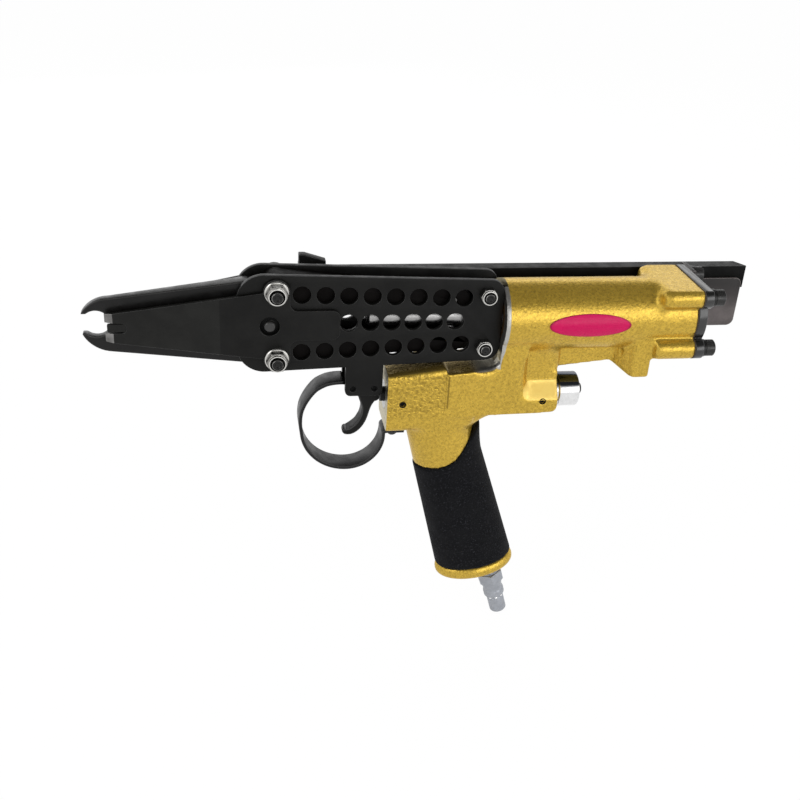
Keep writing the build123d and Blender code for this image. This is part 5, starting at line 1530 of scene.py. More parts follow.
    def tilt_ledge(self, start: np.ndarray, places: np.ndarray) -> None:
        """Stand the ledge of the side recess up more steeply.

        Args:
            start: The vertices before rounding.
            places: The vertices now, which are changed.
        """
        inner, outer, top, low = self.ledge_mm
        share = np.clip((np.abs(start[:, 1]) - inner) / (outer - inner), 0.0, 1.0)
        away = np.abs(start[:, 2] - (top + share * (low - top)))
        on = np.clip(self.ledge_near_mm - away, 0.0, 1.0) * (start[:, 0] > self.ledge_x_mm)
        bore = np.hypot(start[:, 1], start[:, 2] - self.valve_axis_z_mm)
        on *= np.abs(start[:, 1]) > inner - self.ledge_edge_mm
        on *= bore > self.valve_bore_radius_mm + self.ledge_clear_mm
        places[:, 2] += on * self.ledge_lift_mm * (1.0 - 2.0 * share)

    def true_bore(self, start: np.ndarray, places: np.ndarray, span: Pair, axis_z: float, radius: float) -> None:
        """Set the vertices of a bore on its true cylinder.

        Args:
            start: The vertices before rounding.
            places: The vertices now, which are changed.
            span: Ends of the bore along X.
            axis_z: Height of its axis.
            radius: Its radius.
        """
        reach = np.hypot(start[:, 1], start[:, 2] - axis_z)
        front, rear = span[0] - self.bore_end_mm, span[1] + self.bore_end_mm
        wall = (np.abs(reach - radius) < self.bore_wall_mm) & (start[:, 0] > front) & (start[:, 0] < rear)
        scale = (radius + self.bore_play_mm) / np.maximum(reach[wall], TINY)
        places[wall, 1] = start[wall, 1] * scale
        places[wall, 2] = axis_z + (start[wall, 2] - axis_z) * scale
        places[wall, 0] = start[wall, 0]


@dataclass
class NosePlate(SheetPlate):
    """A nose plate, bent in towards the jaws, with a tip that is ground bare."""

    bend_x_mm: float = -28.0
    tip_x_mm: float = -83.5
    tip_inner_y_mm: float = 4.5
    bevel_mm: float = 4.0
    bevel_edge_mm: float = 0.9
    bevel_facing: float = -0.2
    droop_mm: float = 1.6

    def stand(self, x: np.ndarray, z: np.ndarray, out: np.ndarray) -> np.ndarray:
        """Stand the plate up, bend it and thin its tip.

        Args:
            x: Places along the plate.
            z: Heights.
            out: Depths from the inner face outwards.

        Returns:
            The vertices as rows of millimetres.
        """
        fall = (self.inner_y_mm - self.tip_inner_y_mm) / (self.bend_x_mm - self.tip_x_mm)
        ahead = np.clip(self.bend_x_mm - x, 0.0, None)
        share = np.clip((x - self.tip_x_mm) / self.bevel_mm, 0.0, 1.0)
        thick = self.bevel_edge_mm + (self.thickness_mm - self.bevel_edge_mm) * share
        low = z - self.droop_mm * ahead / (self.bend_x_mm - self.tip_x_mm)
        return np.stack((x, self.side * (self.inner_y_mm - fall * ahead + np.minimum(out, thick)), low), axis=1)

    def build(self) -> Object:
        """Build the plate and bare the ground bevels at its tip.

        Returns:
            The plate.
        """
        obj = super().build()
        limit, bend = drawn("X", self.tip_x_mm + self.bevel_mm + 0.2), drawn("X", self.bend_x_mm)
        for face in obj.data.polygons:
            if face.center.x < limit and face.normal.x < self.bevel_facing:
                face.material_index = BARE
            elif face.center.x < bend and face.material_index == FACE:
                face.material_index = NOSE
        return obj


@dataclass
class PlatePack:
    """The perforated side plates, the nose plates over them and the bolts through both."""

    plate_inner_y_mm: float = 6.0
    plate_thickness_mm: float = 3.0
    half_height_mm: float = 26.0
    taper_deg: float = 1.9
    front_x_mm: float = -20.0
    rear_x_mm: float = 116.0
    tab_mm: Triple = (35.4, 55.1, -41.8)
    rounds_mm: Triple = (14.0, 3.0, 7.0)
    perforation_mm: float = 4.6
    outer_row: tuple[float, float, float, int] = (12.6, 16.0, 11.8, 8)
    middle_row: tuple[float, float, int] = (36.4, 11.0, 6)
    nose_thickness_mm: float = 2.5
    nose_pin_x_mm: float = -3.5
    pin_hole_mm: float = 2.8
    nose_pin_hole_mm: float = 5.0
    nose_cuts_mm: Pair = (-28.0, -79.5)
    tongue_mm: Triple = (-82.4, -72.2, 2.1)
    tongue_proud_mm: float = 0.25
    tongue_thickness_mm: float = 1.85
    jaw_bolt_z_mm: float = 18.0
    jaw_hole_mm: float = 4.05
    jaw_head_mm: float = 4.5
    rear_bolt_x_mm: float = 107.4
    rear_bolt_z_mm: float = 14.437
    rear_hole_mm: float = 2.55
    rear_head_mm: float = 3.0
    link_pins_mm: tuple[Pair, ...] = ((39.6, -37.8), (50.9, -37.8))
    link_hole_mm: float = 1.7
    pin_out_mm: float = 3.3
    bolt_out_mm: float = 7.4
    rear_out_mm: float = 5.8
    thread_ridge_mm: float = 0.16
    thread_pitch_mm: float = 0.5

    def build(self, ridge: ThreadRidge) -> None:
        """Build every piece of the pack.

        Args:
            ridge: The tree for the threads.
        """
        for side, word in ((-1, "near"), (1, "far")):
            for node, make in (("side_plate_", self.side_plate), ("nose_plate_", self.nose_plate)):
                mounted(make(side, node + word + "_dressed"), Body.HOUSING, [node + word])
            mounted(self.tongue(side, "slot_tongue_" + word), Body.HOUSING)
        self.fasteners()
        self.threads(ridge)

    def edge_z(self, x: float) -> float:
        """Half height of the tapered side plate."""
        return self.half_height_mm - x * math.tan(math.radians(self.taper_deg))

    def side_plate(self, side: int, name: str) -> Object:
        """One perforated plate.

        Args:
            side: Minus one on the near side, one on the far side.
            name: Its name.

        Returns:
            The plate.
        """
        front, rear = self.front_x_mm, self.rear_x_mm
        tab_front, tab_rear, tab_z = self.tab_mm
        front_round, tab_round, rear_round = self.rounds_mm
        corners = [
            (front, -self.edge_z(front), front_round),
            (tab_front, -self.edge_z(tab_front), 0.0),
            (tab_front, tab_z, tab_round),
            (tab_rear, tab_z, tab_round),
            (tab_rear, -self.edge_z(tab_rear), 0.0),
            (rear, -self.edge_z(rear), rear_round),
            (rear, self.edge_z(rear), rear_round),
            (front, self.edge_z(front), front_round),
        ]
        slope = math.tan(math.radians(self.taper_deg))
        holes = [(self.nose_pin_x_mm, 0.0, self.pin_hole_mm)]
        start, height, pitch, count = self.outer_row
        for i in range(count):
            x = start + i * pitch
            holes += [(x, sign * (height - x * slope), self.perforation_mm) for sign in (1, -1)]
        start, pitch, count = self.middle_row
        holes += [(start + i * pitch, 0.0, self.perforation_mm) for i in range(count)]
        for sign in (1, -1):
            holes.append((0.0, sign * self.jaw_bolt_z_mm, self.jaw_hole_mm))
            holes.append((self.rear_bolt_x_mm, sign * self.rear_bolt_z_mm, self.rear_hole_mm))
        holes += [(x, z, self.link_hole_mm) for x, z in self.link_pins_mm]
        return SheetPlate(name, side, rounded(corners), holes, self.plate_inner_y_mm, self.plate_thickness_mm).build()

    def nose_plate(self, side: int, name: str) -> Object:
        """One nose plate.

        Args:
            side: Minus one on the near side, one on the far side.
            name: Its name.

        Returns:
            The plate.
        """
        ear, tongue_x, tongue_z, slot, bend = 6.7, 31.7, 8.0, 2.6, 4.0
        tip_x, tip_z, slot_end = -83.5, 7.3, -73.0
        top: Outline = [(slot_end - slot, slot), (tip_x, slot + 0.3)]
        top += [(tip_x, tip_z), (-ear, self.jaw_bolt_z_mm - 0.2)]
        top += arc((0.0, self.jaw_bolt_z_mm), ear, 180.0, 0.0, 28)
        top += arc((ear + bend, tongue_z + bend), bend, 180.0, 270.0, 10)
        top += arc((tongue_x - bend, tongue_z - bend), bend, 90.0, 0.0, 10)
        bottom = [(x, -z) for x, z in reversed(top)]
        slot_round = arc((slot_end - slot, 0.0), slot, -90.0, 90.0, 12)[1:-1]
        holes = [(0.0, sign * self.jaw_bolt_z_mm, self.jaw_hole_mm) for sign in (1, -1)]
        holes.append((self.nose_pin_x_mm, 0.0, self.nose_pin_hole_mm))
        inner = self.plate_inner_y_mm + self.plate_thickness_mm
        outline = top + bottom + slot_round
        plate = NosePlate(name, side, outline, holes, inner, self.nose_thickness_mm, cuts_x_mm=self.nose_cuts_mm)
        return plate.build()

    def tongue(self, side: int, name: str) -> Object:
        """The guide in the slot of a nose plate, let into the slot's end.

        Args:
            side: Minus one on the near side, one on the far side.
            name: Its name.

        Returns:
            The guide.
        """
        front, rear, half = self.tongue_mm
        corners = [(front, -half, 0.7), (rear, -half, 1.9), (rear, half, 1.9), (front, half, 0.7)]
        inner = self.plate_inner_y_mm + self.plate_thickness_mm + self.tongue_proud_mm
        tip_inner = NosePlate.tip_inner_y_mm + self.tongue_proud_mm
        plate = NosePlate(
            name, side, rounded(corners), [], inner, self.tongue_thickness_mm, bevel_mm=0.01, tip_inner_y_mm=tip_inner
        )
        return plate.build()

    def fasteners(self) -> None:
        """Turn the bolts, nuts and the pin through the plates."""
        seat = self.plate_inner_y_mm + self.plate_thickness_mm
        stack = seat + self.nose_thickness_mm
        # Rings with finish 1 are the hex flats in painted shade, rings with finish 2 the collar's inside in painted
        # hole shade
        jaw_nut = (
            (0.0, 3.05), (0.0, 6.2), (0.72, 6.2), (1.2, 5.72), (1.2, 5.6, 10.0, 1), (4.0, 5.75, 10.0, 1),
            (4.6, 5.05, 10.0, 1), (4.6, 4.4), (6.2, 4.4), (6.2, 3.75, 0.0, 2), (4.9, 3.65, 0.0, 2),
            (4.9, 3.05, 0.0, 2),
        )
        head = self.jaw_head_mm
        shank = head + 2 * stack
        end = shank + self.bolt_out_mm
        jaw_bolt = (
            (0.0, 0.0), (0.0, 4.6), (0.55, 5.9), (1.8, 6.5), (head, 6.5), (head, 4.0), (shank, 4.0), (shank, 2.95),
            (end - 0.45, 2.95, 0.0, 1), (end, 2.5), (end, 1.5), (end - 0.5, 1.1), (end - 0.5, 0.0),
        )
        rear_nut = (
            (0.0, 2.53), (0.0, 4.2, 8.0, 1), (0.4, 4.6, 8.0, 1), (3.1, 4.6, 8.0, 1), (3.6, 4.05, 8.0, 1), (3.6, 3.8),
            (5.0, 3.8), (5.0, 3.15, 0.0, 2), (3.9, 3.05, 0.0, 2), (3.9, 2.53, 0.0, 2),
        )
        head = self.rear_head_mm
        end = head + 2 * seat + self.rear_out_mm
        rear_bolt = (
            (0.0, 0.0), (0.0, 3.4), (0.4, 4.2), (1.2, 4.6), (head, 4.6), (head, 2.5), (end - 0.35, 2.45, 0.0, 1),
            (end, 2.1), (end, 1.3), (end - 0.5, 0.9), (end - 0.5, 0.0),
        )
        for word, x, z, face, head, nut, bolt in (
            ("jaw", 0.0, self.jaw_bolt_z_mm, stack, self.jaw_head_mm, jaw_nut, jaw_bolt),
            ("rear", self.rear_bolt_x_mm, self.rear_bolt_z_mm, seat, self.rear_head_mm, rear_nut, rear_bolt),
        ):
            spots = [((x, -face, sign * z), NEAR) for sign in (1, -1)]
            TurnedForm(nut, hollow=True).stand_for(word + "_nuts", Slot.NICKEL, spots, NICKEL, NUT_FLATS_SHADE, HOLE_SHADE)
            spots = [((x, face + head, sign * z), NEAR) for sign in (1, -1)]
            TurnedForm(bolt).stand_for(word + "_bolts", Slot.BLACK_STEEL, spots, BOLT_BLACK, BOLT_RIM)
        out = self.pin_out_mm
        half = seat + out
        end = 2 * half
        pin = (
            (0.0, 0.0), (0.0, 2.2), (0.5, 2.72), (3.0, 2.72, 0.0, 1), (3.0, 4.9, 0.0, 1), (out, 4.9, 0.0, 1),
            (out, 2.72), (end - out, 2.72, 0.0, 1), (end - out, 4.9, 0.0, 1), (end - 3.0, 4.9, 0.0, 1),
            (end - 3.0, 2.72), (end - 0.5, 2.72), (end, 2.2), (end, 0.0),
        )
        # The pin's collar inside the nose plate's hole is in painted hole shade
        spot = ((self.nose_pin_x_mm, half, 0.0), NEAR)
        TurnedForm(pin, ease_mm=0.05).stand_for("nose_pin", Slot.BRIGHT_STEEL, [spot], KNURL_BLACK, HOLE_SHADE)

    def threads(self, ridge: ThreadRidge) -> None:
        """Wind the threads on the bolt ends that stand out of the nuts.

        Args:
            ridge: The tree for the threads.
        """
        bolts = (
            (0.0, self.jaw_bolt_z_mm, 3.0, -18.7, -17.7),
            (self.rear_bolt_x_mm, self.rear_bolt_z_mm, 2.5, -14.7, -14.0),
        )
        ends = [
            ridge.grow(
                "bolt_thread",
                Radius=(radius - self.thread_ridge_mm) * MM,
                Length=(face - end) * MM,
                Turns=(face - end) / self.thread_pitch_mm,
                Ridge=self.thread_ridge_mm * MM,
                At=part_point(x, face, side * z),
                Turn=Euler((math.pi / 2, 0.0, 0.0)),
                Material=BOLT_BLACK.material(),
            )
            for x, z, radius, end, face in bolts
            for side in (1, -1)
        ]
        mounted(join_meshes("bolt_threads", ends), Body.HOUSING)


@dataclass
class JawPair:
    """The two hooked jaws with their bushes and rollers."""

    edge_mm: float = 0.55
    arm_x_mm: float = -14.0
    notch_x_mm: float = -80.0
    slim_x_mm: Pair = (-14.5, -82.0)
    slim_share: float = 0.4
    droop_mm: float = 0.95

    def build(self) -> None:
        """Build both jaws and dress what turns in them."""
        for side, jaw, roller in (
            ("upper", Body.UPPER_JAW, Body.UPPER_ROLLER),
            ("lower", Body.LOWER_JAW, Body.LOWER_ROLLER),
        ):
            made = CutPiece(side + "_jaw", jaw, Slot.BROWN_STEEL, JAW_STEEL, JAW_EDGE, self.edge_mm, 24.0, 3).build()
            self.slim(made.data)
            self.paint_arm_shade(made.data)
            CutPiece(side + "_roller", roller, Slot.BRIGHT_STEEL, POLISHED, POLISHED, 0.3).build()
            dress_node(side + "_jaw_bush", BRONZE)
            dress_node(side + "_roller_pin", GROUND)

    def slim(self, mesh: Mesh) -> None:
        """Thin the nose of a jaw, ahead of the plates.

        Args:
            mesh: The jaw's mesh.
        """
        start, end = self.slim_x_mm
        with reshaping(mesh) as form:
            for x in self.slim_x_mm:
                cut_across(form, drawn("X", x))
        places = vertex_places(mesh)
        share = np.clip((start - places[:, 0]) / (start - end), 0.0, 1.0)
        places[:, 1] *= 1.0 - self.slim_share * share
        places[:, 2] -= self.droop_mm * share
        put_vertices(mesh, places)

    def paint_arm_shade(self, mesh: Mesh) -> None:
        """Paint shade on the arm, which runs between the plates, and on the inside of the hook.

        Args:
            mesh: The jaw's mesh.
        """
        start, notch = drawn("X", self.arm_x_mm), drawn("X", self.notch_x_mm)
        with reshaping(mesh) as form:
            cut_across(form, start)
        drop_normals(mesh)
        smooth_by_angle(mesh, CUT_SMOOTH_DEG)
        wear(mesh, ARM_SHADE)
        arm_shade_index = len(mesh.materials) - 1
        for face in mesh.polygons:
            inner = face.center.x < notch and face.normal.z * face.center.z < 0 and abs(face.normal.y) < 0.3
            if face.center.x > start or (inner and face.normal.x < 0.9):
                face.material_index = arm_shade_index


@dataclass
class CoilSpring:
    """A coil spring along X."""

    node: str
    joint: str
    travel_mm: float
    held_in_front: bool
    smooth_deg: float = 60.0

    def build(self) -> None:
        """Dress the spring in place of its CAD node."""
        obj = node_copy(self.node, self.node + "_dressed")
        wear(obj.data, SPRING)
        smooth_by_angle(obj.data, self.smooth_deg)
        mounted(obj, Body.HOUSING, [self.node])
        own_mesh(obj)


@dataclass
class Drive:
    """The rod and piston, with what they run in."""

    stroke_mm: float = 28.5

    def build(self) -> None:
        """Dress the pieces inside the barrel."""
        CutPiece("drive_rod", Body.PISTON, Slot.BRIGHT_STEEL, POLISHED, POLISHED, 0.2).build()
        for node, finish in (
            ("piston", TURNED_ALUMINIUM),
            ("piston_seal", RUBBER_SEAL),
            ("piston_nut", BOLT_BLACK),
            ("rod_bush", BRONZE),
            ("bumper", RUBBER_SEAL),
        ):
            dress_node(node, finish)
        CoilSpring("return_spring", "piston_slide", self.stroke_mm, held_in_front=True).build()


@dataclass
class RearCap:
    """The end cap, its gasket and its knurled socket screws."""

    head_radius_mm: float = 4.4
    head_height_mm: float = 5.5
    near_head_x_mm: float = 226.4
    far_head_x_mm: float = 228.9
    shank_start_x_mm: float = 205.5
    shank_radius_mm: float = 2.5
    washer_radius_mm: float = 4.7
    washer_mm: float = 1.4
    socket_mm: float = 4.0
    socket_depth_mm: float = 2.8
    screw_y_mm: float = 16.8
    screw_z_mm: float = 14.4
    rib_count: int = 40
    rib_mm: float = 0.36
    rib_base_mm: float = 0.2
    rib_short_mm: float = 1.0

    def build(self, ribs: RingOfRibs) -> None:
        """Build the cap and its screws.

        Args:
            ribs: The tree for the knurled heads.
        """
        CutPiece("end_cap", Body.HOUSING, Slot.BLACK_STEEL, CAP_BLACK, CAP_BLACK, 0.6, 30.0, 3).build()
        CutPiece("cap_gasket", Body.HOUSING, Slot.GASKET_PAPER, GASKET, GASKET, 0.05).build()
        screws, washers, knurls = [], [], []
        heights = (self.screw_z_mm, -self.screw_z_mm)
        for y, head_x in ((-self.screw_y_mm, self.near_head_x_mm), (self.screw_y_mm, self.far_head_x_mm)):
            spots = [((self.shank_start_x_mm, y, z), BACK) for z in heights]
            screws.append(self.screw(head_x).build("cap_screw", spots, [BOLT_BLACK, BOLT_RIM]))
            seats = [((head_x - self.washer_mm, y, z), BACK) for z in heights]
            washers.append(self.washer().build("cap_washer", seats, [BOLT_BLACK]))
            knurls += [
                ribs.grow(
                    "knurl",
                    Count=self.rib_count,
                    Radius=(self.head_radius_mm - self.rib_base_mm) * MM,
                    Size=Vector((self.rib_mm, self.rib_mm, self.head_height_mm - self.rib_short_mm)) * MM,
                    At=part_point(head_x + self.head_height_mm / 2, y, z),
                    Turn=Euler((0.0, math.pi / 2, 0.0)),
                    Material=KNURL_BLACK.material(),
                )
                for z in heights
            ]
        mounted(join_meshes("cap_screws_dressed", screws), Body.HOUSING, ["cap_screws"])
        mounted(join_meshes("cap_washers_dressed", washers), Body.HOUSING, ["cap_washers"])
        mounted(join_meshes("cap_screw_knurls", knurls), Body.HOUSING)

    def screw(self, head_x: float) -> TurnedForm:
        """A socket screw.

        Args:
            head_x: Where its head begins.

        Returns:
            Its form along X from the shank's end.
        """
        seat = head_x - self.shank_start_x_mm
        top = seat + self.head_height_mm
        body = self.head_radius_mm - self.rib_base_mm
        return TurnedForm(
            (
                (0.0, 0.0), (0.0, self.shank_radius_mm - 0.4), (0.4, self.shank_radius_mm),
                (seat, self.shank_radius_mm), (seat, body - 0.3), (seat + 0.3, body), (top - 0.4, body),
                (top, body - 0.4), (top, 2.7), (top - 0.15, 2.4, self.socket_mm),
                (top - self.socket_depth_mm, 2.4, self.socket_mm), (top - self.socket_depth_mm, 0.0),
            )
        )

    def washer(self) -> TurnedForm:
        """A plain lock washer."""
        inner = self.shank_radius_mm + 0.05
        return TurnedForm(
            (
                (0.0, inner), (0.0, self.washer_radius_mm), (self.washer_mm, self.washer_radius_mm),
                (self.washer_mm, inner),
            ),
            hollow=True,
            ease_mm=0.2,
        )


@dataclass
class ValveTrain:
    """The trigger valve: stem, sleeve, spring and the bright cap behind."""

    axis_z_mm: float = -45.4
    cap_start_x_mm: float = 132.0
    cap_length_mm: float = 32.2
    pin_radius_mm: float = 1.5
    pin_start_y_mm: float = 8.0
    pins_mm: tuple[Pair, Pair] = ((65.6, 14.0), (141.8, 14.8))
    travel_mm: float = 1.759

    def build(self) -> None:
        """Turn the cap and its screw, and dress the rest."""
        end = self.cap_length_mm
        cap = TurnedForm(
            (
                (0.0, 0.0), (0.0, 5.95), (18.5, 5.95), (18.5, 7.95), (20.7, 7.95), (20.7, 9.0), (21.2, 9.5),
                (31.7, 9.5), (end, 9.0), (end, 0.0),
            ),
            ease_mm=0.3,
        )
        start = (self.cap_start_x_mm, 0.0, self.axis_z_mm)
        made = cap.build("valve_cap_dressed", [(start, BACK)], [CAP_ALUMINIUM])
        mounted(made, Body.HOUSING, ["valve_end_cap"])
        screw = TurnedForm(
            (
                (0.0, 0.0), (0.0, 3.2), (2.5, 3.2), (3.0, 2.7), (3.0, 1.7, 2.6), (1.4, 1.7, 2.6), (1.4, 0.0),
            )
        )
        start = (self.cap_start_x_mm + end, 0.0, self.axis_z_mm)
        screw.stand_for("valve_cap_screw", Slot.BLACK_STEEL, [(start, BACK)], BOLT_BLACK)
        CutPiece("valve_stem", Body.VALVE_STEM, Slot.BLACK_STEEL, BLACKED, BLACKED_EDGE, 0.3).build()
        self.locating_pins()
        dress_node("valve_sleeve", SLEEVE)
        dress_node("stem_seals", RUBBER_SEAL)
        CoilSpring("valve_spring", "stem_slide", self.travel_mm, held_in_front=False).build()

    def locating_pins(self) -> None:
        """Sink the locating pins in their holes, behind a fine rim, all in painted shade that stands in for the dark
        holes.
        """
        pins = []
        for x, face_y in self.pins_mm:
            length = face_y - self.pin_start_y_mm
            r = self.pin_radius_mm
            pin = TurnedForm(
                (
                    (0.0, 0.0), (0.0, r), (length - 0.05, r + 0.3), (length, r + 0.2), (length - 0.1, r - 0.15),
                    (length - 1.4, r - 0.2), (length - 1.4, 0.0),
                ),
                ease_mm=0.05,
                sides=48,
            )
            pins.append(pin.build("pin", [((x, -self.pin_start_y_mm, self.axis_z_mm), NEAR)], [HOLE_SHADE]))
        mounted(join_meshes("locating_pins_dressed", pins), Body.HOUSING, ["locating_pins"])


@dataclass
class TriggerGroup:
    """The trigger, its guard and their pins."""

    trigger_pin_x_mm: float = 50.9
    guard_pin_x_mm: float = 39.6
    pin_z_mm: float = -37.8
    pin_radius_mm: float = 1.6
    pin_half_mm: float = 9.0
    screw_x_mm: float = 62.9
    screw_seat_z_mm: float = -66.4
    screw_top_z_mm: float = -57.6
    front_edge_mm: Rows = ((-63.7, -59.0, -52.0, -42.4), (40.3, 44.7, 46.3, 44.8))
    rear_edge_mm: Rows = ((-65.9, -58.5, -52.2, -44.0), (43.4, 48.2, 50.0, 53.5))
    front_fill_mm: Rows = (
        (-66.0, -63.0, -59.0, -52.0, -47.0, -42.4, -39.5), (0.0, 0.8, 1.0, 0.9, 2.2, 2.7, 0.0),
    )
    tip_mm: Pair = (35.6, -67.4)
    tip_reach_mm: float = 6.0
    loop_centre_mm: Pair = (34.0, -57.5)
    loop_push: tuple[Pair, ...] = (
        (78.0, 0.0), (88.0, 3.2), (110.0, 4.4), (125.0, 4.5), (142.0, 3.4), (165.0, 2.2), (180.0, 1.1), (197.0, 0.0),
    )

    def build(self) -> None:
        """Build the trigger and guard."""
        trigger = CutPiece("trigger", Body.TRIGGER, Slot.BLACK_STEEL, BLACKED, BLACKED_EDGE, 0.6, 30.0, 3).build()
        self.fill_trigger(trigger.data)
        guard = CutPiece("trigger_guard", Body.HOUSING, Slot.BLACK_STEEL, GUARD_STEEL, BLACKED_EDGE, 0.3).build()
        self.round_loop(guard.data)
        seat = self.screw_top_z_mm - self.screw_seat_z_mm
        screw = TurnedForm(
            (
                (0.0, 0.0), (0.0, 1.7), (0.3, 2.0), (seat, 2.0), (seat, 3.3), (seat + 0.3, 3.4), (seat + 1.6, 3.3),
                (seat + 2.8, 2.8), (seat + 3.7, 2.0), (seat + 4.25, 1.0), (seat + 4.4, 0.0),
            )
        )
        spot = ((self.screw_x_mm, 0.0, self.screw_top_z_mm), (0, 0, -1))
        screw.stand_for("guard_screw", Slot.BLACK_STEEL, [spot], BOLT_BLACK)
        length = 2 * self.pin_half_mm
        r = self.pin_radius_mm
        # The cup in the pin's end is in painted hole shade
        pin = TurnedForm(
            (
                (0.0, 0.0), (0.0, r - 0.3), (0.3, r), (length - 0.3, r), (length, r - 0.2, 0.0, 1),
                (length - 0.1, r - 0.45, 0.0, 1), (length - 1.0, r - 0.5, 0.0, 1), (length - 1.0, 0.0),
            ),
            ease_mm=0.05,
            sides=48,
        )
        for node, x in (("trigger_pin", self.trigger_pin_x_mm), ("guard_pin", self.guard_pin_x_mm)):
            spot = ((x, self.pin_half_mm, self.pin_z_mm), NEAR)
            pin.stand_for(node, Slot.BRIGHT_STEEL, [spot], BOLT_BLACK, HOLE_SHADE)

    def fill_trigger(self, mesh: Mesh) -> None:
        """Fill the trigger's front out to the finger, and round its tip.

        Args:
            mesh: The trigger's mesh.
        """
        places = vertex_places(mesh)
        x, _, z = places.T.copy()
        front, rear = np.interp(z, *self.front_edge_mm), np.interp(z, *self.rear_edge_mm)
        places[:, 0] -= np.clip((rear - x) / (rear - front), 0.0, 1.0) * np.interp(z, *self.front_fill_mm)
        away = np.clip(np.hypot(x - self.tip_mm[0], z - self.tip_mm[1]) / self.tip_reach_mm, 0.1, 1.0)
        places[:, 1] *= np.sqrt(1.0 - (1.0 - away) ** 2)
        put_vertices(mesh, places)

    def round_loop(self, mesh: Mesh) -> None:
        """Spring the guard's upper bow out to its rounder, worked shape.

        Args:
            mesh: The guard's mesh.
        """
        places = vertex_places(mesh)
        x, z = places[:, 0] - self.loop_centre_mm[0], places[:, 2] - self.loop_centre_mm[1]
        angle = np.degrees(np.arctan2(z, x)) % 360.0
        push = np.interp(angle, *zip(*self.loop_push)) / np.hypot(x, z)
        places[:, 0] += push * x
        places[:, 2] += push * z
        put_vertices(mesh, places)


@dataclass
class Magazine:
    """The ring rail on the far side, its supports and the pusher."""

    def build(self) -> None:
        """Build the magazine."""
        CutPiece("magazine_rail", Body.HOUSING, Slot.BLACK_STEEL, RAIL_BLACK, RAIL_EDGE, 0.25).build()
        CutPiece("feed_track", Body.HOUSING, Slot.BLACK_STEEL, RAIL_BLACK, BLACKED_EDGE, 0.5).build()
        CutPiece("rail_bracket", Body.HOUSING, Slot.BROWN_STEEL, BROWNED, BROWNED_EDGE, 0.35).build()
        CutPiece("rail_stay", Body.HOUSING, Slot.BLACK_STEEL, BLACKED, BLACKED_EDGE, 0.4).build()
        CutPiece("pusher", Body.PUSHER, Slot.BLACK_STEEL, BLACKED, BLACKED_EDGE, 0.3).build()
        dress_node("feed_spring", SPRING)


